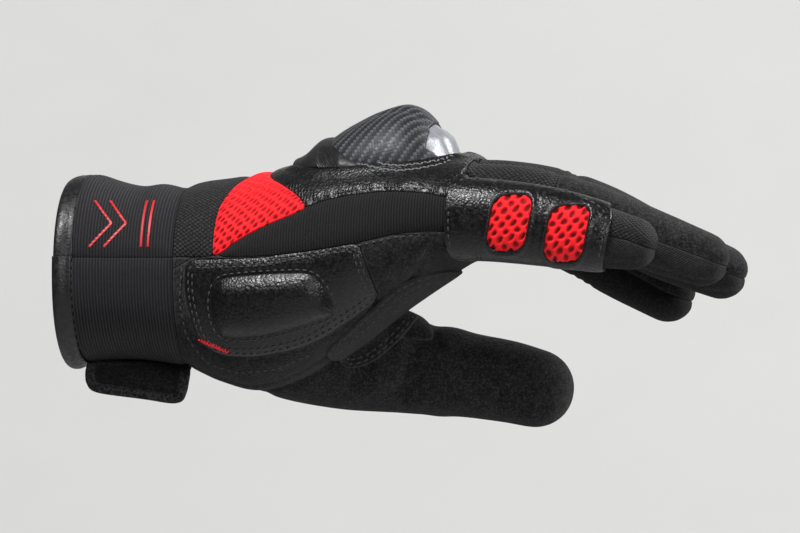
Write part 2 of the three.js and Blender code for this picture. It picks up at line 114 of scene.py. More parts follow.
# Seams in the side view, x and z
redBack = [
    [55.2, 5.7], [55, 12], [55.4, 19.6], [56.1, 24.1], [59.3, 30.7], [61.5, 32.6], [63, 36],
    [63, aboveAll],
]
redFront = [[69, aboveAll], [69, 35.5], [72, 33.2], [77.9, 30.7], [84, 27.2], [87.9, 22.9]]
redFoot = [[82.1, 20.1], [75.7, 17.6], [68.6, 14.2], [62.4, 10.5], [58.8, 7.4]]
leatherEdge = [[94, 25.5], [104, 27.4], [116, 28.6], [130, 28], [136.5, 26.4], [160, 26.4]]
sideSeam = [[160, 14], [132, 14], [121, 13.4], [108, 10.5], [92, 7.8], [74, 5.8]]
# A panel that is cut later may reach over the ones cut before it
outlines = {
    "redMesh": redBack + redFront + redFoot,
    "wristMesh": [[30, 5.5], redBack[0]] + redFoot[::-1] + redFront[::-1] + [[30, aboveAll]],
    "backLeather": [[66, aboveAll], [66, 31], [84, 24.5], redFront[-1]] + leatherEdge + [[160, aboveAll]],
    "stretch": [redBack[0], [54, 12], [84, 27]] + [[x, z + 2] for x, z in leatherEdge] + sideSeam,
    "heelLeather": [
        [45.5, 4.6], [60, 5.0], [74, 5.4], [84, 7.6], [107, 11.2], [110, 2], [113, -9.5],
        [104, -15.5], [93, -22.5], [84, -26.6], [70, -29.4], [57, -29.0], [49, -24.5], [45.2, -8],
    ],
    "heelPad": [
        [56, -4], [59, -1.4], [74, -0.2], [90, 0.4], [94, -2.5], [98, -10], [97, -14.5], [86, -18.5],
        [72, -22], [58.5, -22.4], [55.2, -17], [54.6, -10],
    ],
    "sideSuede": [
        [30, 5.2], [136, 15], [127, 2], [120, -6], [108, -17], [96, -27.5], [84, -34], [66, -45],
        [30, -45],
    ],
    "tongue": [
        [91, -29.5], [91.2, -27.4], [93.4, -25], [98.6, -20.8], [108.4, -12.8], [117.2, -5.2],
        [124, -1.6], [136, 2], [136, -6], [121, -11.5], [116, -15.5], [113.5, -19.7],
        [110.4, -23.8], [105, -28.6], [100.2, -31.7], [95, -33], [91.8, -32],
    ],
    "pinkyOverlay": [
        [137.5, 27.5], [140, 33.5], [152, 34], [176, 31], [194.8, 22.4], [193.4, 10], [189, -3.4],
        [168, -2], [152, 2], [140, 3], [137, 9],
    ],
    "tab": [
        [5.6, -29], [5.6, -36.6], [7.4, -40.2], [11, -41.6], [27.7, -43.6], [36.4, -45.1],
        [40, -44.2], [41.6, -40.2], [42.2, -33.8], [41, -29],
    ],
}


# Tables and outlines
def denseTable(table, steps=8):
    rows = np.array(table, float)
    ends = np.vstack([2 * rows[0] - rows[1], rows, 2 * rows[-1] - rows[-2]])
    made = []
    for i in range(1, len(ends) - 2):
        before, here, after, beyond = ends[i - 1:i + 3]
        for t in np.arange(steps) / steps:
            made.append(0.5 * (2 * here + (after - before) * t
                               + (2 * before - 5 * here + 4 * after - beyond) * t * t
                               + (3 * here - before - 3 * after + beyond) * t ** 3))
    made.append(rows[-1])
    return np.array(made)


densePalm = denseTable(palmTable)
denseDigits = {name: denseTable(table) for name, table in digitTables.items()}


def columnAt(dense, column, x):
    return np.interp(x, dense[:, 0], dense[:, column])


def palmColumns(x):
    # Near and far sides, top, bottom, and the two heights of the widest point
    return [columnAt(densePalm, column, x) for column in range(1, 7)]


def smoothStep(low, high, value):
    t = np.clip((value - low) / (high - low), 0, 1)
    return t * t * (3 - 2 * t)


def bell(value, width):
    return np.exp(-(value / width) ** 2)


def roundedOutline(outline, rounds=2):
    points = np.array(outline, float)
    for _ in range(rounds):
        after = np.roll(points, -1, 0)
        points = np.stack([points * 0.8 + after * 0.2, points * 0.2 + after * 0.8], 1).reshape(-1, 2)
    return points


def outlineDistance(places, outline):
    # Distance to the outline, above zero inside it
    least = np.full(len(places), 1e9)
    inside = np.zeros(len(places), bool)
    for a, b in zip(outline, np.roll(outline, -1, 0)):
        side = b - a
        away = places - a
        t = np.clip((away @ side) / max(side @ side, 1e-9), 0, 1)
        least = np.minimum(least, np.linalg.norm(away - t[:, None] * side, axis=1))
        crosses = (a[1] > places[:, 1]) != (b[1] > places[:, 1])
        reach = a[0] + (places[:, 1] - a[1]) * side[0] / (side[1] if abs(side[1]) > 1e-9 else 1e-9)
        inside ^= crosses & (places[:, 0] < reach)
    return np.where(inside, least, -least)


def sideValue(points, name, nearOnly=None, rounds=1):
    value = outlineDistance(points[:, [0, 2]], roundedOutline(outlines[name], rounds))
    if nearOnly is not None:
        value = np.minimum(value, nearOnly - points[:, 1])
    return value


# Lofts
def squarePower(v, n):
    return np.sign(v) * np.abs(v) ** (2 / n)


def palmRing(row, grow, angles):
    x, near, far, top, bottom, nearMid, farMid = row
    middleZ = (nearMid + farMid) / 2
    across = squarePower(np.cos(angles), palmSquare)
    up = squarePower(np.sin(angles), palmSquare)
    y = (near + far) / 2 + ((far - near) / 2 + grow) * across
    height = np.where(up > 0, top - middleZ, middleZ - bottom) + grow
    z = middleZ + (farMid - nearMid) / 2 * across + height * up
    return np.column_stack([np.full(len(angles), x), y, z])


def palmRings(grow, xs, sides):
    angles = np.arange(sides) * 2 * math.pi / sides
    return [palmRing([x] + palmColumns(x), grow, angles) for x in xs]


def digitRings(name, grow, sides=40):
    dense = denseDigits[name]
    angles = np.arange(sides) * 2 * math.pi / sides
    across = squarePower(np.cos(angles), digitSquare)
    up = squarePower(np.sin(angles), digitSquare)
    slope = np.gradient(dense[:, 2], dense[:, 0])
    rings = []

    def addRing(row, tilt, shrink, forward):
        high = up * (row[4] + grow) * shrink
        x = row[0] + forward * math.cos(tilt) - high * math.sin(tilt)
        z = row[2] + forward * math.sin(tilt) + high * math.cos(tilt)
        rings.append(np.column_stack([x, row[1] + across * (row[3] + grow) * shrink, z]))

    for row, s in zip(dense, slope):
        addRing(row, math.atan(s), 1, 0)
    for degrees in range(12, 89, 12):
        a = math.radians(degrees)
        addRing(dense[-1], math.atan(slope[-1]), math.cos(a), (dense[-1][4] + grow) * math.sin(a))
    return rings


def loftMesh(rings, closed=True):
    sides = len(rings[0])
    points = np.vstack(rings)
    base = np.arange(len(rings) - 1)[:, None] * sides
    i = np.arange(sides if closed else sides - 1)[None, :]
    j = (i + 1) % sides
    a, b = base + i, base + j
    tris = np.concatenate([
        np.stack([a, b, b + sides], -1).reshape(-1, 3),
        np.stack([a, b + sides, a + sides], -1).reshape(-1, 3),
    ])
    return points, tris


def cappedLoft(rings):
    points, tris = loftMesh(rings)
    sides = len(rings[0])
    last = len(points) - sides
    ends = np.vstack([rings[0].mean(0), rings[-1].mean(0)])
    start, stop = len(points), len(points) + 1
    i = np.arange(sides)
    j = (i + 1) % sides
    caps = np.concatenate([
        np.stack([np.full(sides, start), j, i], 1),
        np.stack([np.full(sides, stop), last + i, last + j], 1),
    ])
    return np.vstack([points, ends]), np.concatenate([tris, caps])


def joined(meshes):
    # Several meshes as one, with the triangles counted on
    starts = np.cumsum([0] + [len(points) for points, _ in meshes[:-1]])
    return (np.vstack([points for points, _ in meshes]),
            np.vstack([tris + start for (_, tris), start in zip(meshes, starts)]))


def turnedOut(points, tris):
    # Triangles of a closed mesh, facing out
    a, b, c = (points[tris[:, k]] for k in range(3))
    return tris if np.einsum("ij,ij->i", a, np.cross(b, c)).sum() >= 0 else tris[:, ::-1]


# Surfaces: points, normals and triangles
def pointNormals(points, tris):
    a, b, c = (points[tris[:, k]] for k in range(3))
    face = np.cross(b - a, c - a)
    normals = np.zeros_like(points)
    for k in range(3):
        np.add.at(normals, tris[:, k], face)
    return normals / np.maximum(np.linalg.norm(normals, axis=1, keepdims=True), 1e-12)


def compact(points, normals, tris):
    used, tris = np.unique(tris, return_inverse=True)
    return points[used], normals[used], tris.reshape(-1, 3)


def splitSurface(surface, value, snap=0.02):
    # Adds points where the value crosses zero, so that every triangle is on one side
    points, normals, tris = surface
    value = np.where(np.abs(value) < snap, snap, value)
    inside = value > 0
    count = inside[tris].sum(1)
    whole = tris[(count == 0) | (count == 3)]
    mixed = tris[(count == 1) | (count == 2)]
    odd = inside[mixed] == (inside[mixed].sum(1) == 1)[:, None]
    turn = (np.argmax(odd, 1)[:, None] + np.arange(3)) % 3
    mixed = np.take_along_axis(mixed, turn, 1)
    pairs = np.sort(np.concatenate([mixed[:, [0, 1]], mixed[:, [0, 2]]]), 1)
    edges, where = np.unique(pairs, axis=0, return_inverse=True)
    where = where.reshape(-1) + len(points)
    low, high = edges[:, 0], edges[:, 1]
    t = (value[low] / (value[low] - value[high]))[:, None]
    newPoints = points[low] * (1 - t) + points[high] * t
    newNormals = normals[low] * (1 - t) + normals[high] * t
    newNormals /= np.maximum(np.linalg.norm(newNormals, axis=1, keepdims=True), 1e-12)
    ab, ac = where[:len(mixed)], where[len(mixed):]
    a, b, c = mixed.T
    tris = np.concatenate([whole, np.stack([a, ab, ac], 1), np.stack([ab, b, c], 1),
                           np.stack([ab, c, ac], 1)])
    points = np.vstack([points, newPoints])
    normals = np.vstack([normals, newNormals])
    value = np.concatenate([value, np.zeros(len(newPoints))])
    return (points, normals, tris), value


def divide(surface, value):
    # The part where the value is above zero, and the rest
    surface, value = splitSurface(surface, value)
    points, normals, tris = surface
    chosen = value[tris].sum(1) > 0
    return compact(points, normals, tris[chosen]), compact(points, normals, tris[~chosen])


def finer(surface):
    points, normals, tris = surface
    pairs = np.sort(np.concatenate([tris[:, [0, 1]], tris[:, [1, 2]], tris[:, [2, 0]]]), 1)
    edges, where = np.unique(pairs, axis=0, return_inverse=True)
    where = where.reshape(-1) + len(points)
    middle = points[edges].mean(1)
    normal = normals[edges].mean(1)
    normal /= np.maximum(np.linalg.norm(normal, axis=1, keepdims=True), 1e-12)
    n = len(tris)
    ab, bc, ca = where[:n], where[n:2 * n], where[2 * n:]
    a, b, c = tris.T
    tris = np.concatenate([np.stack(q, 1) for q in ((a, ab, ca), (ab, b, bc), (ca, bc, c), (ab, bc, ca))])
    return np.vstack([points, middle]), np.vstack([normals, normal]), tris


def rimEdges(tris):
    sides = np.concatenate([tris[:, [0, 1]], tris[:, [1, 2]], tris[:, [2, 0]]])
    key, first, count = np.unique(np.sort(sides, 1), axis=0, return_index=True, return_counts=True)
    return sides[first[count == 1]]


def rimDistance(points, tris):
    edges = rimEdges(tris)
    rim = np.vstack([points[np.unique(edges)], points[edges].mean(1)])
    tree = KDTree(len(rim))
    for i, p in enumerate(rim):
        tree.insert(p, i)
    tree.balance()
    distance = np.array([tree.find(p)[2] for p in points])
    distance[np.unique(edges)] = 0
    return distance


# Coordinates along and round the glove, in millimetres, for weaves and ribs
weaveRadius = {"back": 37.0, "under": 35.0, "finger": 10.5}
fingerLean = 0.3  # of the ribs across a finger


def palmWeave(points):
    columns = palmColumns(points[:, 0])
    angle = np.arctan2(-points[:, 1], points[:, 2] - (columns[4] + columns[5]) / 2)
    return np.column_stack([points[:, 0], angle * weaveRadius["back"]])


def undersideWeave(points):
    angle = np.arctan2(points[:, 1], -points[:, 2])
    return np.column_stack([points[:, 0], angle * weaveRadius["under"]])


def digitWeave(name):
    def weave(points):
        dense = denseDigits[name]
        x = np.clip(points[:, 0], dense[0, 0], dense[-1, 0])
        angle = np.arctan2(-(points[:, 1] - columnAt(dense, 1, x)), points[:, 2] - columnAt(dense, 2, x))
        return np.column_stack([points[:, 0] - fingerLean * points[:, 2], angle * weaveRadius["finger"]])
    return weave


# Objects
def makeObject(name, points, tris, material, attributes=None, sharp=38, replaces=()):
    mesh = bpy.data.meshes.new(name)
    mesh.from_pydata((points * mm).tolist(), [], tris.tolist())
    mesh.validate()
    mesh.update()
    for key, values in (attributes or {}).items():
        layer = mesh.attributes.new(key, "FLOAT_VECTOR", "POINT")
        layer.data.foreach_set("vector", np.asarray(values, float).ravel())
    mesh.shade_smooth()
    mesh.set_sharp_from_angle(angle=math.radians(sharp))
    mesh.materials.append(material)
    piece = bpy.data.objects.new(name, mesh)
    bpy.context.scene.collection.objects.link(piece)
    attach(piece, bodyName)
    if replaces:
        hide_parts(*replaces)
    return piece


def sewPanel(name, surface, look, slot, node, weave=palmWeave, relief=None, lift=0.0,
             thick=cloth["thick"], pull=cloth["seamDepth"], detail=0, tint=None):
    # A panel with rolled edges, pulled in along its seams, closed at the back
    for _ in range(detail):
        surface = finer(surface)
    distance = rimDistance(surface[0], surface[2])
    for ring in cloth["edgeRings"]:
        surface, _ = splitSurface(surface, distance - ring * cloth["edgeRound"])
        distance = rimDistance(surface[0], surface[2])
    points, normals, tris = surface
    along = weave(points)
    roll = np.clip(1 - distance / cloth["edgeRound"], 0, 1)
    sink = cloth["edgeRound"] * (1 - np.sqrt(np.clip(1 - roll ** 2, 0, 1)))
    height = lift - sink - pull * bell(distance, cloth["seamWidth"])
    if relief is not None:
        height = height + relief(points, distance)
    follow = cloth["backFollows"]
    back = np.minimum(height, lift) * follow + lift * (1 - follow) - thick
    outer = points + normals * height[:, None]
    inner = points + normals * back[:, None]
    n = len(points)
    a, b = rimEdges(tris).T
    walls = np.concatenate([np.stack([b, a, a + n], 1), np.stack([b, a + n, b + n], 1)])
    allTris = np.concatenate([tris, tris[:, ::-1] + n, walls])
    extra = tint(points, normals) if tint is not None else np.zeros((n, 3))
    attributes = {
        "weave": np.tile(np.column_stack([along, distance]), (2, 1)),
        "tint": np.tile(extra, (2, 1)),
    }
    piece = makeObject(name, np.vstack([outer, inner]), allTris, finishes[look], attributes,
                       replaces=[node])
    skins.append((outer, tris))
    return piece


skins = []  # outer faces of the panels, which the stitches lie on


# Material nodes
class Finish:
    # A principled material whose heights are in millimetres
    def __init__(self, name, color, roughness, specular=0.5, sheen=None, metallic=0.0):
        self.own = color
        self.material = bpy.data.materials.new(name)
        self.material.use_nodes = True
        self.tree = self.material.node_tree
        self.shader = self.tree.nodes["Principled BSDF"]
        sockets = {"Base Color": (*color, 1), "Roughness": roughness, "Specular IOR Level": specular,
                   "Metallic": metallic}
        if sheen:
            sockets["Sheen Weight"], sockets["Sheen Roughness"] = sheen
        for key, value in sockets.items():
            self.shader.inputs[key].default_value = value
        place = self.node("ShaderNodeTexCoord").outputs["Object"]
        scale = self.node("ShaderNodeVectorMath", operation="SCALE")
        scale.inputs["Scale"].default_value = 1 / mm
        self.link(place, scale.inputs[0])
        self.place = scale.outputs[0]
        self.height = None

    def node(self, kind, **settings):
        made = self.tree.nodes.new(kind)
        for key, value in settings.items():
            setattr(made, key, value)
        return made

    def link(self, source, target):
        self.tree.links.new(source, target)

    def put(self, value, socket):
        if isinstance(value, (int, float, tuple)):
            socket.default_value = value
        else:
            self.link(value, socket)

    def calc(self, operation, a, b=0.0, c=0.0):
        made = self.node("ShaderNodeMath", operation=operation)
        for value, socket in zip((a, b, c), made.inputs):
            self.put(value, socket)
        return made.outputs[0]

    def noise(self, size, detail=3.0, rough=0.55):
        made = self.node("ShaderNodeTexNoise")
        for key, value in (("Scale", 1 / size), ("Detail", detail), ("Roughness", rough)):
            made.inputs[key].default_value = value
        self.link(self.place, made.inputs["Vector"])
        return made.outputs["Fac"]

    def cells(self, size):
        made = self.node("ShaderNodeTexVoronoi", feature="F1")
        made.inputs["Scale"].default_value = 1 / size
        self.link(self.place, made.inputs["Vector"])
        return made.outputs["Distance"]

    def parts(self, attribute):
        # "weave" is along, across and away from the edge; "tint" is a piece's own three numbers
        read = self.node("ShaderNodeAttribute", attribute_name=attribute)
        split = self.node("ShaderNodeSeparateXYZ")
        self.link(read.outputs["Vector"], split.inputs[0])
        return split.outputs[0], split.outputs[1], split.outputs[2]

    def ramp(self, value, low, high, fromValue=0.0, toValue=1.0):
        made = self.node("ShaderNodeMapRange", interpolation_type="SMOOTHSTEP")
        for key, number in zip(("From Min", "From Max", "To Min", "To Max"), (low, high, fromValue, toValue)):
            made.inputs[key].default_value = number
        self.put(value, made.inputs["Value"])
        return made.outputs["Result"]

    def wave(self, value, pitch):
        # 0 to 1 and back over one pitch
        turned = self.calc("MULTIPLY", value, 2 * math.pi / pitch)
        return self.calc("MULTIPLY_ADD", self.calc("SINE", turned), 0.5, 0.5)

    def holes(self, a, b, pitchA, pitchB):
        # Distance from the nearest of a staggered field of points, 0 at one
        best = None
        for shift in (0.0, 0.5):
            pieces = []
            for value, pitch in ((a, pitchA), (b, pitchB)):
                cell = self.calc("FRACT", self.calc("MULTIPLY_ADD", value, 1 / pitch, 100 + shift))
                pieces.append(self.calc("POWER", self.calc("SUBTRACT", cell, 0.5), 2.0))
            reach = self.calc("SQRT", self.calc("ADD", *pieces))
            best = reach if best is None else self.calc("MINIMUM", best, reach)
        return best

    def mix(self, factor, colorA, colorB):
        made = self.node("ShaderNodeMix", data_type="RGBA")
        self.put(factor, made.inputs["Factor"])
        for value, socket in ((colorA, made.inputs[6]), (colorB, made.inputs[7])):
            self.put((*value, 1.0) if isinstance(value, tuple) and len(value) == 3 else value, socket)
        return made.outputs[2]

    def color(self, value):
        self.link(value, self.shader.inputs["Base Color"])

    def shade(self, factor, dark, light):
        # From dark to light times the finish's own colour
        low, high = (tuple(min(c * k, 1) for c in self.own) for k in (dark, light))
        self.color(self.mix(factor, low, high))

    def gloss(self, size, detail, low, high, spread=0.2):
        # Roughness wanders from low to high in patches of a size
        patch = self.ramp(self.noise(size, detail), 0.5 - spread, 0.5 + spread, low, high)
        self.link(patch, self.shader.inputs["Roughness"])

    def addHeight(self, value, amount):
        # Adds a height of so many millimetres
        part = self.calc("MULTIPLY", value, amount)
        self.height = part if self.height is None else self.calc("ADD", self.height, part)

    def done(self):
        if self.height is not None:
            bump = self.node("ShaderNodeBump")
            bump.inputs["Distance"].default_value = mm
            self.link(self.height, bump.inputs["Height"])
            self.link(bump.outputs["Normal"], self.shader.inputs["Normal"])
        return self.material


# Sizes and heights in millimetres
leatherGrain = {"pebble": 0.95, "deep": 0.15, "swell": 3.2, "swellHigh": 0.06, "crease": 1.25}
suedeNap = {"fibre": 0.75, "high": 0.55, "brushed": 4.5, "speck": 0.8}
knitRibs = {"high": 0.22, "loop": 0.75, "loopHigh": 0.2}
airMesh = {"along": 1.95, "across": 1.5, "yarnHigh": 0.5}
carbonTow = 1.05
sideTwill = {"pitch": 1.05, "high": 0.16, "piping": 0.35}


def leatherFinish(name, color, roughness, crease=0.0, reach=7.0):
    f = Finish(name, color, roughness, 0.4)
    along, _, rim = f.parts("weave")
    # Pebbled grain with fine lines between
    pebble = f.cells(leatherGrain["pebble"])
    f.addHeight(pebble, -leatherGrain["deep"])
    f.addHeight(f.noise(leatherGrain["swell"], 2.0), leatherGrain["swellHigh"])
    if crease:
        # Short uneven creases square to the seam, strongest beside it
        bent = f.calc("ADD", along, f.calc("MULTIPLY", f.noise(2.6), 2.2))
        near = f.ramp(rim, 0.8, reach, 1.0, 0.0)
        patchy = f.ramp(f.noise(3.4, 2.0), 0.38, 0.62)
        lines = f.wave(bent, leatherGrain["crease"])
        f.addHeight(f.calc("MULTIPLY", lines, f.calc("MULTIPLY", near, patchy)), crease)
    # Painted highlight: the colour is lighter on each pebble's top and along the rolled edges
    paintedEdgeHighlight = f.ramp(rim, 0.15, 0.9, 1.0, 0.0)
    lift = f.calc("MULTIPLY_ADD", f.ramp(pebble, 0.55, 0.1), 0.5, f.calc("MULTIPLY", paintedEdgeHighlight, 0.5))
    f.shade(lift, 0.3, 4.5)
    f.gloss(1.6, 4.0, roughness - 0.06, roughness + 0.12, 0.18)
    return f.done()


def suedeFinish(name, color):
    f = Finish(name, color, 0.92, 0.16, sheen=(0.06, 0.4))
    _, _, rim = f.parts("weave")
    f.addHeight(f.noise(suedeNap["fibre"], 4.0, 0.75), suedeNap["high"])
    f.addHeight(f.noise(2.6), 0.35)
    # Brushed patches, and specks where the nap stands up
    nap = f.ramp(f.noise(suedeNap["brushed"], 5.0, 0.75), 0.36, 0.66)
    speck = f.ramp(f.noise(suedeNap["speck"], 3.0, 0.75), 0.47, 0.62)
    # Painted highlight: the colour is lighter along the rolled edges
    paintedEdgeHighlight = f.ramp(rim, 0.15, 1.0, 0.5, 0.0)
    fuzz = f.calc("MULTIPLY_ADD", nap, 0.25, f.calc("MULTIPLY", speck, 0.6))
    f.shade(f.calc("ADD", fuzz, paintedEdgeHighlight), 0.5, 4.0)
    return f.done()


def knitFinish(name, color, pitch):
    f = Finish(name, color, 0.9, 0.14, sheen=(0.05, 0.5))
    along, across, _ = f.parts("weave")
    rib = f.wave(along, pitch)
    loops = f.wave(f.calc("ADD", across, f.calc("MULTIPLY", rib, 0.35)), knitRibs["loop"])
    f.addHeight(rib, knitRibs["high"])
    f.addHeight(f.calc("MULTIPLY", rib, loops), knitRibs["loopHigh"])
    f.addHeight(f.noise(0.2, 2.0), 0.06)
    uneven = f.calc("MULTIPLY_ADD", f.noise(0.9), 1.1, 0.25)
    # Painted shade and highlight: darker in the rib grooves and between loops, lighter on the crests, in step
    # with the bumps; also uneven at random
    f.shade(f.calc("MULTIPLY", f.calc("MULTIPLY_ADD", loops, 0.35, rib), uneven), 0.3, 1.9)
    return f.done()


def coarseMeshFinish(name, color):
    f = Finish(name, color, 0.75, 0.28, sheen=(0.04, 0.5))
    along, across, _ = f.parts("weave")
    wander = f.calc("MULTIPLY", f.noise(2.2, 2.0), 0.5)
    reach = f.holes(f.calc("ADD", along, wander), f.calc("ADD", across, wander), airMesh["along"],
                    airMesh["across"])
    yarn = f.ramp(reach, 0.2, 0.42)
    f.addHeight(yarn, airMesh["yarnHigh"])
    f.addHeight(f.noise(0.22, 2.0), 0.1)
    # Painted shade: the holes are darker than the yarn round them
    f.shade(f.calc("MULTIPLY", yarn, f.ramp(f.noise(0.9), 0.38, 0.62, 0.15, 1.0)), 0.07, 3.4)
    return f.done()


def redMeshFinish(name, color):
    # The dimples are in the mesh: the first tint number is how deep a point lies, which also darkens the
    # colour as painted shade
    f = Finish(name, color, 0.62, 0.25, sheen=(0.1, 0.4))
    along, across, _ = f.parts("weave")
    deep, _, _ = f.parts("tint")
    threads = [f.wave(f.calc("MULTIPLY_ADD", across, lean, along), 0.46) for lean in (0.8, -0.8)]
    yarn = f.calc("MULTIPLY", *threads)
    f.addHeight(yarn, 0.12)
    # Painted shade: darker the deeper a point lies in a dimple, and between the raised threads
    f.shade(f.calc("ADD", deep, f.calc("MULTIPLY", yarn, -0.16)), 1.05, 0.2)
    return f.done()


def fingerSideFinish(name, color):
    # Fine twill on a finger's sides, suede under it, and a seam between
    f = Finish(name, color, 0.92, 0.16, sheen=(0.05, 0.5))
    along, across, rim = f.parts("weave")
    under, piping, _ = f.parts("tint")
    side = f.calc("SUBTRACT", 1.0, under)
    twill = f.wave(f.calc("MULTIPLY_ADD", across, 0.9, along), sideTwill["pitch"])
    twill = f.calc("MULTIPLY", twill, side)
    f.addHeight(twill, sideTwill["high"])
    f.addHeight(f.calc("MULTIPLY", f.noise(suedeNap["fibre"], 4.0, 0.75), under), 0.5)
    f.addHeight(piping, sideTwill["piping"])
    speck = f.ramp(f.noise(suedeNap["speck"], 3.0, 0.75), 0.47, 0.62)
    nap = f.calc("MULTIPLY_ADD", f.noise(5.0, 4.0, 0.7), 0.25, f.calc("MULTIPLY", speck, 0.5))
    lit = f.calc("MULTIPLY_ADD", piping, 0.55, f.calc("MULTIPLY_ADD", twill, 0.4, nap))
    # Painted highlight: the colour is lighter along the rolled edges
    f.shade(f.calc("ADD", lit, f.ramp(rim, 0.15, 0.9, 0.45, 0.0)), 0.3, 2.6)
    return f.done()


def carbonFinish(name):
    # Twill: each tow passes over two and under two, one step on in the next row
    dark, light = (0.012, 0.013, 0.015), (0.1, 0.106, 0.115)
    f = Finish(name, dark, 0.5, 0.28)
    along, across, _ = f.parts("weave")
    column, row = (f.calc("FLOOR", f.calc("MULTIPLY", way, 1 / carbonTow)) for way in (along, across))
    phase = f.calc("MODULO", f.calc("ADD", f.calc("SUBTRACT", column, row), 400.0), 4.0)
    warp = f.calc("MULTIPLY_ADD", f.calc("LESS_THAN", phase, 0.5), 0.65,
                  f.calc("MULTIPLY", f.calc("LESS_THAN", phase, 1.5), 0.35))
    crown = f.calc("MULTIPLY", f.wave(along, carbonTow), f.wave(across, carbonTow))
    soft = f.calc("MULTIPLY", warp, f.calc("MULTIPLY_ADD", f.noise(3.0), 0.7, 0.35))
    f.color(f.mix(f.calc("MULTIPLY_ADD", crown, -0.12, soft), dark, light))
    f.addHeight(warp, 0.05)
    f.addHeight(crown, 0.03)
    f.gloss(2.0, 3.0, 0.44, 0.58)
    return f.done()


def silverFinish(name):
    f = Finish(name, (0.25, 0.26, 0.28), 0.4, metallic=0.35)
    f.shade(f.noise(4.0, 4.0), 0.48, 1.58)
    f.gloss(0.9, 4.0, 0.34, 0.5)
    f.addHeight(f.noise(0.6), 0.03)
    return f.done()


def rubberFinish(name):
    f = Finish(name, (0.009, 0.009, 0.0096), 0.5, 0.38)
    f.addHeight(f.noise(0.4), 0.04)
    f.shade(f.noise(3.0, 4.0), 0.7, 1.9)
    f.gloss(1.5, 3.0, 0.42, 0.62)
    return f.done()


def bindingFinish(name):
    f = Finish(name, (0.0035, 0.0035, 0.004), 0.42, 0.42)
    f.addHeight(f.cells(0.9), -0.06)
    f.addHeight(f.noise(5.0), 0.25)
    f.shade(f.noise(4.0, 4.0), 0.6, 2.2)
    f.gloss(1.6, 3.0, 0.32, 0.55)
    return f.done()


def loopPileFinish(name):
    # Fuzzy pile, with a smooth tape where the first tint number is 1
    f = Finish(name, (0.017, 0.017, 0.0176), 0.95, 0.15, sheen=(0.08, 0.5))
    tape, _, _ = f.parts("tint")
    pile = f.calc("SUBTRACT", 1.0, tape)
    f.addHeight(f.calc("MULTIPLY", f.noise(0.8, 4.0, 0.8), pile), 1.1)
    f.addHeight(f.calc("MULTIPLY", f.noise(0.9), tape), 0.14)
    nap = f.ramp(f.noise(0.9, 4.0, 0.8), 0.42, 0.62)
    f.shade(f.calc("MULTIPLY", nap, f.calc("MULTIPLY_ADD", pile, 0.75, 0.25)), 0.25, 4.0)
    return f.done()


def threadFinish(name, color):
    f = Finish(name, color, 0.55, 0.4, sheen=(0.05, 0.4))
    f.addHeight(f.noise(0.16, 2.0), 0.05)
    f.shade(f.noise(0.6), 0.6, 1.5)
    return f.done()


def printFinish(name, color):
    f = Finish(name, color, 0.5)
    f.addHeight(f.noise(0.4), 0.03)
    f.shade(f.noise(1.2), 0.75, 1.2)
    return f.done()


tones = {
    "leather": (0.0034, 0.0034, 0.0038),
    "suede": (0.0112, 0.0112, 0.0115),
    "knit": (0.0172, 0.0162, 0.0184),
    "stretch": (0.0098, 0.0098, 0.0106),
    "mesh": (0.0115, 0.0115, 0.0122),
    "red": (0.95, 0.008, 0.015),
    "thread": (0.03, 0.03, 0.032),
    "seam": (0.13, 0.13, 0.135),
    "redThread": (0.95, 0.01, 0.018),
    "print": (0.5, 0.007, 0.013),
}
ribPitches = {"cuff": 1.04, "stretch": 1.0}
finishes = {
    "leather": leatherFinish("goatskin", tones["leather"], 0.36),
    "backLeather": leatherFinish("goatskin_creased", tones["leather"], 0.36, 0.3),
    "fingerLeather": leatherFinish("finger_leather", tones["leather"], 0.34),
    "suede": suedeFinish("palm_suede_nap", tones["suede"]),
    "knit": knitFinish("ribbed_cuff", tones["knit"], ribPitches["cuff"]),
    "stretch": knitFinish("side_stretch", tones["stretch"], ribPitches["stretch"]),
    "mesh": coarseMeshFinish("black_airmesh", tones["mesh"]),
    "red": redMeshFinish("red_airmesh", tones["red"]),
    "fingerSide": fingerSideFinish("finger_side", tones["suede"]),
    "carbon": carbonFinish("carbon_twill"),
    "silver": silverFinish("guard_satin_silver"),
    "rubber": rubberFinish("rim_rubber"),
    "binding": bindingFinish("edge_binding"),
    "pile": loopPileFinish("loop_pile"),
    "thread": threadFinish("black_thread", tones["thread"]),
    "seam": threadFinish("guard_seam_thread", tones["seam"]),
    "redThread": threadFinish("red_thread", tones["redThread"]),
    "print": printFinish("red_print", tones["print"]),
}
print("finishes made:", len(finishes))


# The sewn surface: palm, fingers and thumb as one skin
skinSizes = {"palmFromX": 20, "palmToX": 140, "palmStep": 2.0, "palmSides": 96, "soften": 0.5}


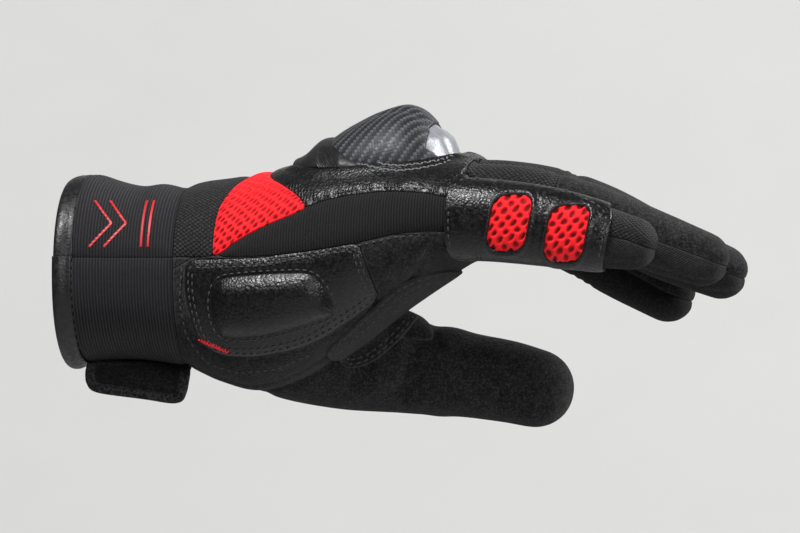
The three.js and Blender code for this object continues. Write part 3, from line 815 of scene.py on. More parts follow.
def handSurface():
    grow = cloth["wall"]
    palmXs = np.arange(skinSizes["palmFromX"], skinSizes["palmToX"], skinSizes["palmStep"])
    palmXs = np.append(palmXs, skinSizes["palmToX"] + grow)
    lofts = [cappedLoft(palmRings(grow, palmXs, skinSizes["palmSides"]))]
    lofts += [cappedLoft(digitRings(name, grow)) for name in digitTables]
    points, tris = joined(lofts)
    mesh = bpy.data.meshes.new("sewn_skin")
    mesh.from_pydata((points * mm).tolist(), [], tris.tolist())
    holder = bpy.data.objects.new("sewn_skin", mesh)
    bpy.context.scene.collection.objects.link(holder)
    remesh = holder.modifiers.new("one skin", "REMESH")
    remesh.mode = "VOXEL"
    remesh.voxel_size = cloth["voxel"] * mm
    smooth = holder.modifiers.new("rounded", "SMOOTH")
    smooth.factor = skinSizes["soften"]
    smooth.iterations = cloth["smoothing"]
    shown = holder.evaluated_get(bpy.context.evaluated_depsgraph_get())
    made = shown.to_mesh()
    made.calc_loop_triangles()
    points = np.zeros(len(made.vertices) * 3)
    made.vertices.foreach_get("co", points)
    tris = np.zeros(len(made.loop_triangles) * 3, np.int32)
    made.loop_triangles.foreach_get("vertices", tris)
    shown.to_mesh_clear()
    bpy.data.objects.remove(holder)
    bpy.data.meshes.remove(mesh)
    points = points.reshape(-1, 3) / mm
    tris = turnedOut(points, tris.reshape(-1, 3).astype(int))
    return points, pointNormals(points, tris), tris


skin = handSurface()
print("sewn skin:", len(skin[2]), "triangles")


def roundedField(across, up, wide, high, power):
    # How far a point lies outside a rounded section
    q = np.abs(across / wide) ** power + np.abs(up / high) ** power
    return (q ** (1 / power) - 1) * np.minimum(wide, high)


def palmField(points):
    x = np.clip(points[:, 0], skinSizes["palmFromX"], skinSizes["palmToX"])
    near, far, top, bottom, nearMid, farMid = palmColumns(x)
    half = (far - near) / 2 + cloth["wall"]
    across = points[:, 1] - (near + far) / 2
    centreZ = (nearMid + farMid) / 2
    up = points[:, 2] - centreZ - (farMid - nearMid) / 2 * np.clip(across / half, -1, 1)
    high = np.where(up > 0, top - centreZ, centreZ - bottom) + cloth["wall"]
    return roundedField(across, up, half, high, palmSquare)


def digitField(points, name):
    dense = denseDigits[name]
    x = np.clip(points[:, 0], dense[0, 0], dense[-1, 0])
    y, z, wide, high = (columnAt(dense, column, x) for column in range(1, 5))
    return roundedField(points[:, 1] - y, points[:, 2] - z, wide + cloth["wall"], high + cloth["wall"],
                        digitSquare)


# Reliefs, in millimetres
foldZ = -30
# x of the fold where z is foldZ, lean, width, height, z where it starts and where it is full
thumbFoldTable = [
    [100.5, 0.62, 3.4, -1.9, -46, -34], [115.4, 0.3, 3.8, -1.7, -49, -40],
    [108.76, 0.42, 4.4, 1.0, -47, -38], [126.2, 0.2, 4.2, 0.5, -91, -90],
]
thumbFoldsEndY = 44
thumbFoldsFullY = 30
# x of the fold where y is 0, lean, width, height
palmFoldTable = [[118, 0.12, 3.0, -0.9], [98, -0.3, 4.0, -0.6]]
# x, width and height of the folds over the cuff
cuffFoldTable = [[31, 4.0, 0.9], [38, 2.5, -0.7], [9, 4.0, 0.4]]
fingerBends = {"pinky": (153, 178), "ring": (163, 190), "middle": (165, 192), "index": (150, 178)}
creaseSizes = {"shifts": (-3.2, 0.0, 3.4), "deep": 0.42, "wide": 1.0, "lean": 0.35}


def thumbFolds(points, distance):
    # Soft dents where the thumb bends, with a broad ridge between them
    x, y, z = points.T
    made = np.zeros(len(points))
    for foldX, lean, wide, high, startZ, fullZ in thumbFoldTable:
        made += high * bell(x - foldX - (z - foldZ) * lean, wide) * smoothStep(startZ, fullZ, z)
    return made * smoothStep(thumbFoldsEndY, thumbFoldsFullY, y)


def palmFolds(points, distance):
    x, y = points[:, 0], points[:, 1]
    return sum(high * bell(x - foldX - y * lean, wide) for foldX, lean, wide, high in palmFoldTable)


def cuffRelief(points, distance):
    x = points[:, 0]
    rib = 0.5 + 0.5 * np.sin(2 * math.pi * x / ribPitches["cuff"])
    slump = sum(high * bell(x - foldX, wide) for foldX, wide, high in cuffFoldTable)
    top = smoothStep(0, cuffSizes["foldsFullZ"], points[:, 2])
    return cuffSizes["ribDepth"] * (rib - 1) * smoothStep(0.2, 1.2, distance) + slump * top


# x and half width of the leather's welt round the guard
weltTable = np.array([[78, 12], [84, 20], [90, 24.5], [99, 27], [107, 28], [118, 28], [126, 26], [131, 22],
                      [136, 12]])
weltSizes = {"high": 1.2, "wide": 2.6, "out": 1.6}
wristSwell = {"x": 47, "wide": 5.0, "high": 0.4, "fromZ": 4, "fullZ": 26}


def guardWelt(points, distance):
    # The leather swells where the guard is sewn down
    x, y = points[:, 0], points[:, 1]
    away = np.abs(y) - columnAt(weltTable, 1, x) - weltSizes["out"]
    return weltSizes["high"] * bell(away, weltSizes["wide"]) * smoothStep(74, 82, x) * smoothStep(142, 134, x)


def wristRelief(points, distance):
    top = smoothStep(wristSwell["fromZ"], wristSwell["fullZ"], points[:, 2])
    return wristSwell["high"] * bell(points[:, 0] - wristSwell["x"], wristSwell["wide"]) * top


def firstNumber(values):
    return np.column_stack([values, values * 0, values * 0])


def dimples(sizes, weave):
    # Two staggered fields of oval dents, a little uneven, and how deep each point lies
    def deepness(points):
        u, v = weave(points).T
        v = v - u * sizes["slope"]
        a = u + 0.2 * np.sin(v * 1.3) + 0.14 * np.sin(u * 1.7)
        b = v + 0.18 * np.sin(u * 1.1) + 0.12 * np.sin(v * 1.3)
        best = np.full(len(points), 9.0)
        for shift in (0.0, 0.5):
            fromA = ((a / sizes["pitchA"] + shift) % 1 - 0.5) * sizes["pitchA"] / sizes["longA"]
            fromB = ((b / sizes["pitchB"] + shift) % 1 - 0.5) * sizes["pitchB"] / sizes["longB"]
            best = np.minimum(best, np.hypot(fromA, fromB))
        return 1 - smoothStep(0.45, 1.2, best)

    def relief(points, distance):
        return -sizes["depth"] * deepness(points) * smoothStep(0.3, 1.0, distance)

    # The depth also goes to the colour, as painted shade in the dimples
    def tint(points, normals):
        return firstNumber(deepness(points))
    return {"relief": relief, "tint": tint}


def jointFolds(name):
    # Creases across the finger where it bends
    def relief(points, distance):
        lean = points[:, 0] - creaseSizes["lean"] * (points[:, 2] - 15)
        return -creaseSizes["deep"] * sum(
            bell(lean - bend - shift, creaseSizes["wide"])
            for bend in fingerBends[name] for shift in creaseSizes["shifts"])
    return relief


# How far down the surface faces at the piping, and how wide the piping is
pipingSizes = {"down": 0.66, "under": 0.74, "wide": 0.045, "indexDown": -0.05, "indexWide": 0.03}


def sideTint(name):
    # The suede under the finger, and the piping beside it. The index finger is suede all round
    def tint(points, normals):
        down = -normals[:, 2]
        under = smoothStep(pipingSizes["down"], pipingSizes["under"], down)
        piping = bell(down - pipingSizes["down"], pipingSizes["wide"])
        if name == "index":
            under = np.ones(len(down))
            piping = bell(down - pipingSizes["indexDown"], pipingSizes["indexWide"])
        return np.column_stack([under, piping, under * 0])
    return tint


# Panels of the hand, each cut from what the ones before it leave
cutSizes = {"thumbTopZ": -21, "thumbEndX": 175, "offPalm": 0.5, "onDigit": 2.0, "seamUp": 1, "tipFall": 0.4}
rest, _ = divide(skin, skin[0][:, 0] - wristX)
panels = {}
for finger, (lowY, highY) in fingerBounds.items():
    points = rest[0]
    own = np.minimum.reduce([points[:, 0] - crotchX, points[:, 1] - lowY, highY - points[:, 1]])
    thumbHere = (points[:, 2] < cutSizes["thumbTopZ"]) & (points[:, 0] < cutSizes["thumbEndX"])
    own = np.where(thumbHere, -1.0, own)
    taken, rest = divide(rest, own)
    x, dense = taken[0][:, 0], denseDigits[finger]
    seamZ = columnAt(dense, 2, x) + cutSizes["seamUp"] - np.maximum(x - dense[-1, 0], 0) * cutSizes["tipFall"]
    back, under = divide(taken, taken[0][:, 2] - seamZ)
    cap, base = divide(back, back[0][:, 0] - backSplits[finger])
    panels[finger] = (base, cap, under)


def thumbSide(points, name):
    return np.minimum(palmField(points) - cutSizes["offPalm"], cutSizes["onDigit"] - digitField(points, name))


points = rest[0]
webNearer = digitField(points, "web") - digitField(points, "thumb")
webNearer = np.where(points[:, 0] < webEndX, webNearer, 9.0)
thumbPanel, rest = divide(rest, np.minimum(thumbSide(points, "thumb"), webNearer))
webPanel, rest = divide(rest, np.minimum(thumbSide(rest[0], "web"), webEndX - rest[0][:, 0]))
redPanel, rest = divide(rest, sideValue(rest[0], "redMesh", 14))
wristPanel, rest = divide(rest, sideValue(rest[0], "wristMesh"))
backPanel, rest = divide(rest, sideValue(rest[0], "backLeather"))
stretchNear, rest = divide(rest, sideValue(rest[0], "stretch", 0))
stretchFar, rest = divide(rest, sideValue(rest[0], "stretch"))
heelPanel, rest = divide(rest, sideValue(rest[0], "heelLeather", 0))
sidePanel, rest = divide(rest, sideValue(rest[0], "sideSuede", -14))

redDimples = {"pitchA": 2.7, "pitchB": 4.1, "longA": 1.0, "longB": 0.72, "depth": 0.75, "slope": -0.5}
below = {"weave": undersideWeave}
# Piece, surface, finish, slot, node and what else it has
handPieces = [
    ("red_airmesh", redPanel, "red", "red_mesh", "red_mesh",
     {"detail": 2, "lift": 0.15, **dimples(redDimples, palmWeave)}),
    ("wrist_airmesh", wristPanel, "mesh", "black_mesh", "wrist_mesh", {"relief": wristRelief}),
    ("back_goatskin", backPanel, "backLeather", "leather", "back_leather", {"relief": guardWelt}),
    ("stretch_near", stretchNear, "stretch", "stretch_cloth", "stretch_outer", {}),
    ("stretch_far", stretchFar, "stretch", "stretch_cloth", "stretch_inner", {}),
    ("heel_goatskin", heelPanel, "leather", "leather", "heel_leather", {"lift": 0.25}),
    ("side_suede_panel", sidePanel, "suede", "suede", "side_suede", {}),
    ("palm_suede_panel", rest, "suede", "suede", "palm_suede", {"relief": palmFolds, **below}),
    ("thumb_suede", thumbPanel, "suede", "suede", "thumb", {"relief": thumbFolds, **below}),
    ("thumb_web_gusset", webPanel, "suede", "suede", "thumb_gusset", below),
]
for name, surface, look, slot, node, more in handPieces:
    sewPanel(name, surface, look, slot, node, **more)
print("hand panels sewn:", len(skins))

for finger, (base, cap, under) in panels.items():
    more = {"weave": digitWeave(finger)}
    capNode, capLook, capSlot = f"{finger}_cap", "suede", "suede"
    if finger == "pinky":
        capNode, capLook, capSlot = "pinky_tip", "mesh", "black_mesh"
    sewPanel(f"{finger}_back_mesh", base, "mesh", "black_mesh", f"{finger}_back",
             relief=jointFolds(finger), **more)
    sewPanel(f"{finger}_end", cap, capLook, capSlot, capNode, **more)
    sewPanel(f"{finger}_under", under, "fingerSide", "suede", f"{finger}_palm",
             relief=jointFolds(finger), tint=sideTint(finger), **more)
print("fingers sewn")

# Laid-on pieces
overlaySizes = {"windowLength": 13.2, "windowHeight": 17.8, "corner": 4.2, "lean": 0.19,
                "windows": [(159.6, 17.1), (179.2, 13.5)], "lift": 1.6, "thick": 1.2}
ringSizes = {"out": 0.9, "wide": 0.7, "high": 0.5}
wrinkleHigh = 0.16
# Bands of upright wrinkles: x where z is 0, width and strength
wrinkleBands = [[147.5, 2.6, 1.0], [166.4, 1.6, 1.0], [186.4, 1.2, 0.5]]
ventDimples = {"pitchA": 3.9, "pitchB": 4.6, "longA": 1.15, "longB": 1.2, "depth": 0.9, "slope": 0.15}


def windowOutline(centre, grow=0.0):
    halfLength = overlaySizes["windowLength"] / 2 + grow
    halfHeight = overlaySizes["windowHeight"] / 2 + grow
    corner = overlaySizes["corner"]
    made = []
    for quarter, (sx, sz) in enumerate(((1, 1), (-1, 1), (-1, -1), (1, -1))):
        for step in range(7):
            angle = math.pi / 2 * (quarter + step / 6)
            across = sx * (halfLength - corner) + corner * math.cos(angle)
            up = sz * (halfHeight - corner) + corner * math.sin(angle)
            made.append([centre[0] + across + overlaySizes["lean"] * up, centre[1] + up])
    return np.array(made)


def windowValue(surface, centre, grow=0.0):
    return outlineDistance(surface[0][:, [0, 2]], windowOutline(centre, grow))


def nearSkin(name, rounds, deepestY, margin=0.0):
    # The near side of the skin inside an outline, with finer triangles
    value = np.minimum(sideValue(skin[0], name, rounds=rounds) + margin, deepestY - skin[0][:, 1])
    return finer(divide(skin, value)[0])


def ventWeave(points):
    return np.column_stack([points[:, 0] - overlaySizes["lean"] * points[:, 2], points[:, 2]])


def windowRim(points, distance):
    # A smooth raised ring round each window, fine upright wrinkles in the bands beside them
    leaned, z = ventWeave(points).T
    wrinkle = np.sin(leaned * 5.2 + 1.1 * np.sin(z * 0.7) + 0.8 * np.sin(z * 1.7))
    bands = sum(strength * bell(leaned - bandX, wide) for bandX, wide, strength in wrinkleBands)
    made = wrinkleHigh * wrinkle * bands * smoothStep(2.0, 5.0, distance)
    for centre in overlaySizes["windows"]:
        away = -windowValue([points], centre)
        ring = ringSizes["high"] * bell(away - ringSizes["out"], ringSizes["wide"])
        made = made * smoothStep(1.4, 2.6, away) + ring
    return made


overlayBase = nearSkin("pinkyOverlay", 2, -29, 6)
overlayPart, _ = divide(overlayBase, sideValue(overlayBase[0], "pinkyOverlay", -31, 2))
for number, centre in enumerate(overlaySizes["windows"], 1):
    _, overlayPart = divide(overlayPart, windowValue(overlayPart, centre))
    ventPart, _ = divide(overlayBase, np.minimum(windowValue(overlayBase, centre, 0.5),
                                                 -34 - overlayBase[0][:, 1]))
    sewPanel(f"finger_vent_{number}", ventPart, "red", "red_mesh", f"pinky_vent_{number}", ventWeave,
             lift=1.15, thick=0.9, pull=0.25, detail=1, **dimples(ventDimples, ventWeave))
sewPanel("finger_overlay", overlayPart, "fingerLeather", "leather", "pinky_overlay", digitWeave("pinky"),
         windowRim, lift=overlaySizes["lift"], thick=overlaySizes["thick"], pull=0.3)

padSizes = {"lift": 0.45, "rise": 2.9, "edge": 7.5, "thick": 1.6, "fill": 0.8}


def padRise(points, distance):
    return padSizes["rise"] * np.sin(np.clip(distance / padSizes["edge"], 0, 1) * math.pi / 2)


heelPad = sewPanel("heel_pad_cushion", nearSkin("heelPad", 3, -5), "leather", "leather", "heel_pad",
                   relief=padRise, lift=padSizes["lift"], thick=padSizes["thick"], pull=0.2)
sewPanel("palm_tongue_suede", nearSkin("tongue", 3, 24), "suede", "suede", "palm_tongue", undersideWeave,
         lift=1.4, thick=1.1, pull=0.25)
print("overlays laid on")

# Cuff
cuffSizes = {"ribDepth": 0.1, "step": 0.28, "sides": 150, "under": 0.6, "foldsFullZ": 26}


def faceUp(points, tris):
    # An open surface whose normals point away from the middle of the hand
    normals = pointNormals(points, tris)
    if (normals[:, 2] * points[:, 2]).sum() < 0:
        tris, normals = tris[:, ::-1], -normals
    return points, normals, tris


cuffXs = np.arange(bindingX - cuffSizes["under"], wristX + 0.01, cuffSizes["step"])
cuff = faceUp(*loftMesh(palmRings(cloth["wall"], cuffXs, cuffSizes["sides"])))
upperCuff, lowerCuff = divide(cuff, cuff[0][:, 2] - cuffSeamZ)
sewPanel("cuff_knit_upper", upperCuff, "knit", "ribbed_knit", "cuff_upper", relief=cuffRelief)
sewPanel("cuff_knit_lower", lowerCuff, "knit", "ribbed_knit", "cuff_lower", undersideWeave, cuffRelief)

bindingSizes = {"roll": 3.9, "flat": 2.6, "outside": 1.0, "inside": 2.4, "strip": 0.45, "square": 3.4,
                "start": -0.5, "steps": 28, "sides": 120, "seamGap": 0.004}


def bindingPiece(name, node, fromAngle, toAngle, shift, swell):
    # A round roll at the mouth, then a flat stitched strip over the knit, carried round the cuff
    size = bindingSizes
    angles = np.linspace(fromAngle, toAngle, size["sides"])
    rings = []
    for turn in np.arange(size["steps"]) * 2 * math.pi / size["steps"]:
        x = (size["roll"] + size["flat"]) * 0.5 * (1 + squarePower(math.cos(turn), size["square"]))
        bulge = math.sqrt(max(1 - (x / size["roll"] * 2 - 1) ** 2, 0))
        x += size["start"]
        reach = size["inside"]
        if math.sin(turn) > 0:
            reach = size["strip"] + (size["outside"] + swell - size["strip"]) * bulge
        grow = cloth["wall"] + squarePower(math.sin(turn), size["square"]) * reach
        rings.append(palmRing([x + shift] + palmColumns(max(x, 0)), grow, angles))
    points, tris = cappedLoft(list(np.stack(rings, 1)))
    attributes = {"weave": np.column_stack([points[:, :2], points[:, 2] * 0 + 9])}
    makeObject(name, points, turnedOut(points, tris), finishes["binding"], attributes, 50, [node])


cuffHigh = 33  # half the cuff's height at its mouth
seamFar = math.asin(cuffSeamZ / cuffHigh) * 0.88  # less, as the section is squarer than a circle
seamNear = math.pi - seamFar
seamGap = bindingSizes["seamGap"]
bindingPiece("binding_upper", "cuff_binding_upper", seamFar + seamGap, seamNear - seamGap, 0.3, 0.0)
bindingPiece("binding_lower", "cuff_binding_lower", seamNear + seamGap, seamFar + 2 * math.pi - seamGap,
             -0.1, 0.3)

strapSizes = {"fromX": 12, "toX": 37, "lift": 2.1, "thick": 1.7, "topZ": -8, "edgeY": -4}
strapPart, _ = divide(cuff, np.minimum.reduce([
    cuff[0][:, 0] - strapSizes["fromX"], strapSizes["toX"] - cuff[0][:, 0],
    cuff[0][:, 1] - strapSizes["edgeY"], strapSizes["topZ"] - cuff[0][:, 2],
]))
sewPanel("closing_strap", strapPart, "pile", "hook_loop", "wrist_strap", undersideWeave,
         lift=strapSizes["lift"], thick=strapSizes["thick"], pull=0.2)

# The strap's free end: y and z down its middle line
tabTable = [[-3.4, -31.2], [-7.4, -32.4], [-10.2, -35.2], [-11.5, -39.3], [-11.8, -47]]
tabSizes = {"thick": 2.4, "lift": 1.2, "border": 3.0, "inset": 0.5, "step": 0.4, "fromX": 4, "toX": 44}


def tabSurface():
    line = denseTable(tabTable, 14)
    slope = np.gradient(line, axis=0)
    slope /= np.linalg.norm(slope, axis=1, keepdims=True)
    xs = np.arange(tabSizes["fromX"], tabSizes["toX"], tabSizes["step"])
    grid = np.zeros((len(line), len(xs), 3))
    grid[..., 0] = xs[None, :]
    grid[..., 1:] = line[:, None, :]
    normals = np.zeros_like(grid)
    normals[..., 1] = slope[:, None, 1]
    normals[..., 2] = -slope[:, None, 0]
    points, tris = loftMesh(list(grid), closed=False)
    normals = normals.reshape(-1, 3)
    if normals[:, 1].mean() > 0:
        normals = -normals
    if (pointNormals(points, tris) * normals).sum() < 0:
        tris = tris[:, ::-1]
    return points, normals, tris


def tabRelief(points, distance):
    return -tabSizes["inset"] * smoothStep(tabSizes["border"] - 0.4, tabSizes["border"] + 0.3, distance)


def tabTint(points, normals):
    inside = sideValue(points, "tab", rounds=2)
    return firstNumber(smoothStep(tabSizes["border"], tabSizes["border"] + 0.6, inside))


tab = tabSurface()
tabPart, _ = divide(tab, sideValue(tab[0], "tab", rounds=2))
sewPanel("closing_tab", tabPart, "pile", "hook_loop", "strap_tab", lambda p: p[:, [0, 2]], tabRelief,
         lift=tabSizes["lift"], thick=tabSizes["thick"], pull=0.0, tint=tabTint)
print("cuff and strap made")

# Knuckle guard: x, half width, top
sewnUnderGuard = len(skins)
shellTable = [
    [86, 13, 41.5], [92, 21, 47.0], [99, 25.5, 51.4], [107, 27.5, 55.3], [116, 28, 57.8], [122.5, 27, 55.7],
    [127.5, 24, 50.6], [133.4, 16, 44.4], [135.4, 13, 39.6],
]
rimTable = [
    [78, 11, 39.2], [82.5, 18, 41.4], [88, 23.5, 46.2], [94, 27, 46.4], [100, 28.0, 44.6], [107, 27.7, 39.6],
]
guardSizes = {"foot": 36.0, "noseX": 126.5, "thick": 2.0, "rimThick": 1.6, "sides": 76, "sunk": 0.5,
              "tilt": math.radians(12), "round": 24.0}
valley = {"y": -9.5, "wide": 2.4, "deep": 1.3, "fromX": 100, "fullX": 119}
lobe = {"y": -18, "wide": 5.0, "high": 0.5}
crest = {"y": 2, "x": 105, "lean": 0.12, "wide": 1.6, "high": 0.35}
noseFoot = {"forward": 3.6, "fromZ": 43.6, "fullZ": 39.6}
noseFacets = {"ridgeZ": 46.2, "ridgeX": 129.6, "reach": 4, "steepZ": 0.24, "steepX": 0.18, "high": 0.9}
rimRibs = {"fromX": 88.5, "toX": 98, "fade": 1.5, "pitch": 0.95, "lean": 0.7, "high": 0.22, "sideY": 14}


def domeSurface(table):
    angles = np.linspace(0, math.pi, guardSizes["sides"])
    rings = [np.column_stack([np.full(len(angles), x), wide * np.cos(angles),
                              guardSizes["foot"] + (top - guardSizes["foot"]) * np.sin(angles)])
             for x, wide, top in denseTable(table, 10)]
    return faceUp(*loftMesh(rings, closed=False))


def aboveBack(surface, sunk=guardSizes["sunk"]):
    # How far a point lies above the back of the hand, less what is sunk into it
    points = surface[0]
    near, far, top, _, nearMid, farMid = palmColumns(points[:, 0])
    middleZ = (nearMid + farMid) / 2
    across = np.clip(np.abs(points[:, 1]) / ((far - near) / 2 + cloth["wall"]), 0, 1)
    reach = (1 - across ** palmSquare) ** (1 / palmSquare)
    return points[:, 2] - middleZ - (top - middleZ + cloth["wall"]) * reach + sunk


def shellRelief(points, distance):
    x, y = points[:, 0], points[:, 1]
    front = smoothStep(valley["fromX"], valley["fullX"], x)
    dent = valley["deep"] * bell(y - valley["y"], valley["wide"])
    swell = lobe["high"] * bell(y - lobe["y"], lobe["wide"])
    ridge = bell(y - crest["y"] - (x - crest["x"]) * crest["lean"], crest["wide"])
    return (swell - dent) * front + crest["high"] * ridge


def noseRelief(points, distance):
    # Flat facets that meet on ridges
    x, y, z = points.T
    upper = np.minimum(np.abs(z - noseFacets["ridgeZ"]), noseFacets["reach"]) * noseFacets["steepZ"]
    lower = np.minimum(np.abs(x - noseFacets["ridgeX"]), noseFacets["reach"]) * noseFacets["steepX"]
    return noseFacets["high"] * (1 - bell(y - valley["y"], valley["wide"] + 0.2)) - upper - lower


def rimRelief(points, distance):
    x, y, z = points.T
    ribs = np.sin((x + z * rimRibs["lean"]) * 2 * math.pi / rimRibs["pitch"])
    start = smoothStep(rimRibs["fromX"], rimRibs["fromX"] + rimRibs["fade"], x)
    end = smoothStep(rimRibs["toX"], rimRibs["toX"] - rimRibs["fade"], x)
    return rimRibs["high"] * ribs * start * end * smoothStep(0, 6, np.abs(y) - rimRibs["sideY"])


def guardWeave(points):
    # Along the guard and round it, turned so that the twill's bands rise to the front
    across = -np.arctan2(-points[:, 1], points[:, 2] - guardSizes["foot"]) * guardSizes["round"]
    c, s = math.cos(guardSizes["tilt"]), math.sin(guardSizes["tilt"])
    return np.column_stack([points[:, 0] * c + across * s, across * c - points[:, 0] * s])


shellSurface = domeSurface(shellTable)
shellSurface, _ = divide(shellSurface, aboveBack(shellSurface))
noseShift = noseFoot["forward"] * smoothStep(noseFoot["fromZ"], noseFoot["fullZ"], shellSurface[0][:, 2])
nosePart, shellPart = divide(shellSurface, shellSurface[0][:, 0] - guardSizes["noseX"] - noseShift)
sewPanel("knuckle_shell", shellPart, "carbon", "guard_carbon", "guard_shell", guardWeave, shellRelief,
         thick=guardSizes["thick"], pull=0.0)
sewPanel("knuckle_nose", nosePart, "silver", "guard_silver", "guard_nose", guardWeave, noseRelief,
         thick=guardSizes["thick"], pull=0.0)

# The rim is what stands outside the shell's own section
rimSurface = domeSurface(rimTable)
rimX, rimY, rimZ = rimSurface[0].T
shellDense = denseTable(shellTable, 10)
shellWide = np.interp(rimX, shellDense[:, 0], shellDense[:, 1], left=0.1)
shellHigh = np.interp(rimX, shellDense[:, 0], shellDense[:, 2] - guardSizes["foot"], left=0.1)
outside = np.hypot(rimY / shellWide, (rimZ - guardSizes["foot"]) / shellHigh) - 1
rimPart, _ = divide(rimSurface, np.minimum(outside * 20, aboveBack(rimSurface)))
sewPanel("knuckle_rim", rimPart, "rubber", "rim_rubber", "guard_rim", guardWeave, rimRelief,
         thick=guardSizes["rimThick"], pull=0.0, detail=1)
print("knuckle guard made")

# Stitches lie on the finished panels
skinPoints, skinTris = joined(skins[:sewnUnderGuard])
skinTree = BVHTree.FromPolygons(skinPoints.tolist(), skinTris.tolist())
stitchSizes = {"length": 1.7, "pitch": 2.6, "radius": 0.3, "bury": -0.02, "sides": 6}
longestJump, shortestJump = 2.2, 0.2  # in pitches and in millimetres: no stitch spans more or less
stitchArch, stitchLift = 0.9, 0.5  # in radii
# Place along a stitch in its lengths, and width in its radii
stitchProfile = [(-0.5, 0.25), (-0.4, 0.8), (-0.15, 1.0), (0.15, 1.0), (0.4, 0.8), (0.5, 0.25)]


def onNearSide(outline, deepest=60):
    # The near side's surface under each point of a side view, no further in than asked
    found = []
    for x, z in outline:
        place, normal, _, _ = skinTree.ray_cast(Vector((x, nearestY, z)), Vector((0, 1, 0)))
        if place is not None and place.y < deepest:
            found.append((place, normal if normal.y < 0 else -normal))
    return found


def walk(line, step, closed=False):
    # Even steps along a line of 2-D points
    points = np.array(line, float)
    if closed:
        points = np.vstack([points, points[:1]])
    reach = np.concatenate([[0], np.cumsum(np.linalg.norm(np.diff(points, axis=0), axis=1))])
    at = np.arange(0, reach[-1], step)
    return np.column_stack([np.interp(at, reach, points[:, k]) for k in range(2)])


def stitchMesh(lines, zigzag=0.0, sizes=stitchSizes):
    made = []
    turn = np.arange(sizes["sides"]) * 2 * math.pi / sizes["sides"]
    for line in lines:
        for i, ((here, up), (after, _)) in enumerate(zip(line, line[1:])):
            gap = after - here
            if gap.length > sizes["pitch"] * longestJump or gap.length < shortestJump:
                continue
            along = gap.normalized()
            side = up.cross(along).normalized()
            if zigzag:
                along = (along + side * zigzag * (1 if i % 2 else -1)).normalized()
                side = up.cross(along).normalized()
            middle = (here + after) / 2 + up * (sizes["radius"] * stitchLift - sizes["bury"])
            rings = []
            for t, wide in stitchProfile:
                arch = -sizes["radius"] * stitchArch * (2 * abs(t)) ** 2
                centre = middle + along * (t * sizes["length"]) + up * arch
                rings.append(np.array([centre + side * (math.cos(a) * sizes["radius"] * wide)
                                       + up * (math.sin(a) * sizes["radius"] * wide) for a in turn]))
            made.append(cappedLoft(rings))
    return joined(made)


def insetOutline(name, distance, rounds=2):
    # The outline moved inwards, for a row of stitches beside an edge
    points = roundedOutline(outlines[name], rounds)
    after, before = np.roll(points, -1, 0), np.roll(points, 1, 0)
    along = after - before
    along /= np.linalg.norm(along, axis=1, keepdims=True)
    inward = np.column_stack([-along[:, 1], along[:, 0]])
    area = (points[:, 0] * after[:, 1] - after[:, 0] * points[:, 1]).sum()
    return points + inward * distance * (1 if area > 0 else -1)


def edgeRows(name, distances, rounds, deepest=60):
    return [onNearSide(walk(insetOutline(name, d, rounds), stitchSizes["pitch"], True), deepest)
            for d in distances]


def seamRows(lines, step=stitchSizes["pitch"]):
    return [onNearSide(walk(line, step)) for line in lines]


guardSeam = [[80, 39.6], [88.4, 39.2], [106.2, 39.0], [113.3, 37.4], [119.2, 36.8], [126, 37.6],
             [132.5, 39.0], [136.5, 41.2]]
suedeSeam = [[44.4, 2], [43.4, -10], [45, -22], [51, -31], [62, -34.2], [75, -33], [88, -27.5]]
tabEdge = [[12, -39.4], [28, -41.4], [37, -42.8]]
sideLines = [[[x, z + 0.9] for x, z in leatherEdge[:-1]], [[x, z - 1.0] for x, z in sideSeam[1:]]]
# Rows of stitches, thread, slot and zigzag
stitchRows = {
    "stitches_heel": (edgeRows("heelLeather", (1.5, 3.0), 1), "thread", "leather", 0),
    "stitches_pad": (edgeRows("heelPad", (-0.9,), 3), "thread", "leather", 0),
    "stitches_finger": (edgeRows("pinkyOverlay", (1.5,), 2, -33), "thread", "leather", 0),
    "stitches_tongue": (edgeRows("tongue", (1.3, 2.9), 3), "thread", "suede", 0),
    "stitches_guard": (seamRows([[[x, z - drop] for x, z in guardSeam] for drop in (0.2, 1.9)], 1.25),
                       "seam", "leather", 0.6),
    "stitches_side": (seamRows(sideLines), "thread", "stretch_cloth", 0),
    "stitches_cuff": (seamRows([[[x, -27], [x, 27]] for x in (4.4, 5.9)]), "thread", "ribbed_knit", 0),
    "stitches_suede": (seamRows([suedeSeam]), "thread", "suede", 0),
    "stitches_tab": (seamRows([tabEdge], 1.5), "thread", "hook_loop", 0.9),
}
for name, (rows, thread, slot, zigzag) in stitchRows.items():
    points, tris = stitchMesh([row for row in rows if len(row) > 1], zigzag)
    makeObject(name, points, tris, finishes[thread], sharp=60)

tackSizes = {"length": 2.3, "pitch": 0.55, "radius": 0.36, "bury": 0.0, "sides": 6, "zigzag": 2.4}
tackLines = seamRows([[[49.6, -22.9], [60, -27.2]]], tackSizes["pitch"])
points, tris = stitchMesh(tackLines, tackSizes["zigzag"], tackSizes)
makeObject("red_bar_tack", points, tris, finishes["redThread"], sharp=60, replaces=["bar_tack"])

# Plain pinstripes on the cuff's upper half: two nested chevrons and two bars
printSizes = {"width": 0.75, "rise": 0.14, "lift": 0.12, "sunk": 0.4, "step": 0.35}
pinstripes = [
    [[12, 9], [19, 17], [12, 25]], [[17, 9], [24, 17], [17, 25]],
    [[30, 9], [30, 25]], [[32.4, 9], [32.4, 25]],
]


def stripeMesh(found):
    rings = []
    for i, (place, up) in enumerate(found):
        before, after = found[max(i - 1, 0)][0], found[min(i + 1, len(found) - 1)][0]
        side = up.cross((after - before).normalized()).normalized() * printSizes["width"] / 2
        top, foot = up * (printSizes["rise"] + printSizes["lift"]), up * printSizes["sunk"]
        rings.append(np.array([place + side + top, place - side + top, place - side - foot,
                               place + side - foot]))
    return cappedLoft(rings)


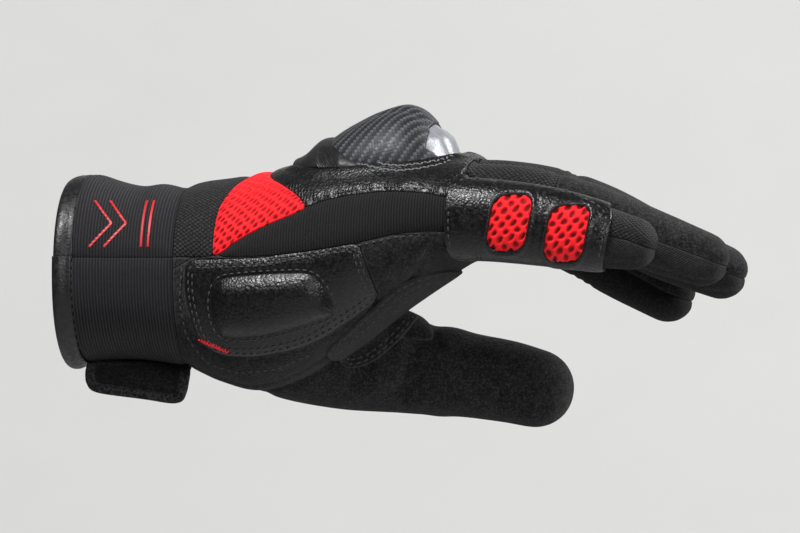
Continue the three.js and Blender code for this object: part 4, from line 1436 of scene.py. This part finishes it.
points, tris = joined([stripeMesh(row) for row in seamRows(pinstripes, printSizes["step"])])
makeObject("cuff_pinstripes", points, tris, finishes["print"], sharp=30)
print("stitches and stripes laid")

# Floor, lights and camera, in metres
stageSizes = {"floorZ": -0.6, "back": 8.5, "front": -9.0, "wide": 12.0, "bend": 3.0, "high": 9.0, "steps": 12}
gloveMiddle = (0.11, 0.0, 0.0)
# Place, target, size and power
lamps = {
    "key": ((-0.15, -0.55, 0.95), gloveMiddle, (0.4, 0.22), 18),
    "fill": ((0.95, -1.1, 0.35), gloveMiddle, (0.5, 0.5), 8),
    "rim": ((0.8, 0.35, 0.35), gloveMiddle, (0.3, 0.5), 7),
    "backdrop": ((0.1, 4.8, 3.6), (0.1, 8.5, 0.2), (6.0, 1.5), 260),
}
skyLight = {"color": (0.9, 0.92, 0.95, 1), "strength": 0.12}


def makeStage():
    # A floor that bends up into a wall
    size = stageSizes
    line = [(size["front"], 0.0), (size["back"] - size["bend"], 0.0)]
    for step in range(1, size["steps"] + 1):
        angle = math.pi / 2 * step / size["steps"]
        line.append((size["back"] - size["bend"] + size["bend"] * math.sin(angle),
                     size["bend"] * (1 - math.cos(angle))))
    line.append((size["back"], size["high"]))
    points = [(x, y, size["floorZ"] + z) for y, z in line for x in (-size["wide"], size["wide"])]
    faces = [(2 * i, 2 * i + 1, 2 * i + 3, 2 * i + 2) for i in range(len(line) - 1)]
    mesh = bpy.data.meshes.new("floor")
    mesh.from_pydata(points, [], faces)
    mesh.shade_smooth()
    f = Finish("pale_floor", (0.62, 0.62, 0.61), 0.7)
    f.shade(f.noise(120.0), 0.97, 1.03)
    mesh.materials.append(f.done())
    floor = bpy.data.objects.new("floor", mesh)
    bpy.context.scene.collection.objects.link(floor)


def makeLight(name, place, target, size, power):
    light = bpy.data.lights.new(name, "AREA")
    light.shape = "RECTANGLE"
    light.size, light.size_y = size
    light.energy = power
    lamp = bpy.data.objects.new(name, light)
    lamp.location = place
    lamp.rotation_euler = (Vector(target) - Vector(place)).to_track_quat("-Z", "Y").to_euler()
    bpy.context.scene.collection.objects.link(lamp)


viewSizes = {"azimuth": 10.0, "elevation": 0.0, "distance": 6.0, "mmPerPixel": 0.345,
             "imageWidth": 800, "originX": 75, "originY": 273, "centreX": 400, "centreY": 266.5}


def makeCamera():
    azimuth, elevation = (math.radians(viewSizes[k]) for k in ("azimuth", "elevation"))
    across = (viewSizes["centreX"] - viewSizes["originX"]) * viewSizes["mmPerPixel"] * mm
    up = (viewSizes["originY"] - viewSizes["centreY"]) * viewSizes["mmPerPixel"] * mm
    right = Vector((math.cos(azimuth), math.sin(azimuth), 0))
    back = Vector((math.sin(azimuth) * math.cos(elevation), -math.cos(azimuth) * math.cos(elevation),
                   math.sin(elevation)))
    target = right * across + Vector((0, 0, up))
    data = bpy.data.cameras.new("camera")
    data.sensor_width = 36
    halfWidth = viewSizes["imageWidth"] * viewSizes["mmPerPixel"] * mm / 2
    data.lens = data.sensor_width / 2 * viewSizes["distance"] / halfWidth
    data.clip_start, data.clip_end = 0.1, 60
    camera = bpy.data.objects.new("camera", data)
    camera.location = target + back * viewSizes["distance"]
    camera.rotation_euler = (-back).to_track_quat("-Z", "Y").to_euler()
    bpy.context.scene.collection.objects.link(camera)
    bpy.context.scene.camera = camera


makeStage()
for name, settings in lamps.items():
    makeLight(name, *settings)
world = bpy.data.worlds.new("studio")
world.use_nodes = True
sky = world.node_tree.nodes["Background"]
sky.inputs["Color"].default_value = skyLight["color"]
sky.inputs["Strength"].default_value = skyLight["strength"]
bpy.context.scene.world = world
bpy.context.scene.view_settings.view_transform = "Standard"
makeCamera()
print("stage, lights and camera set")
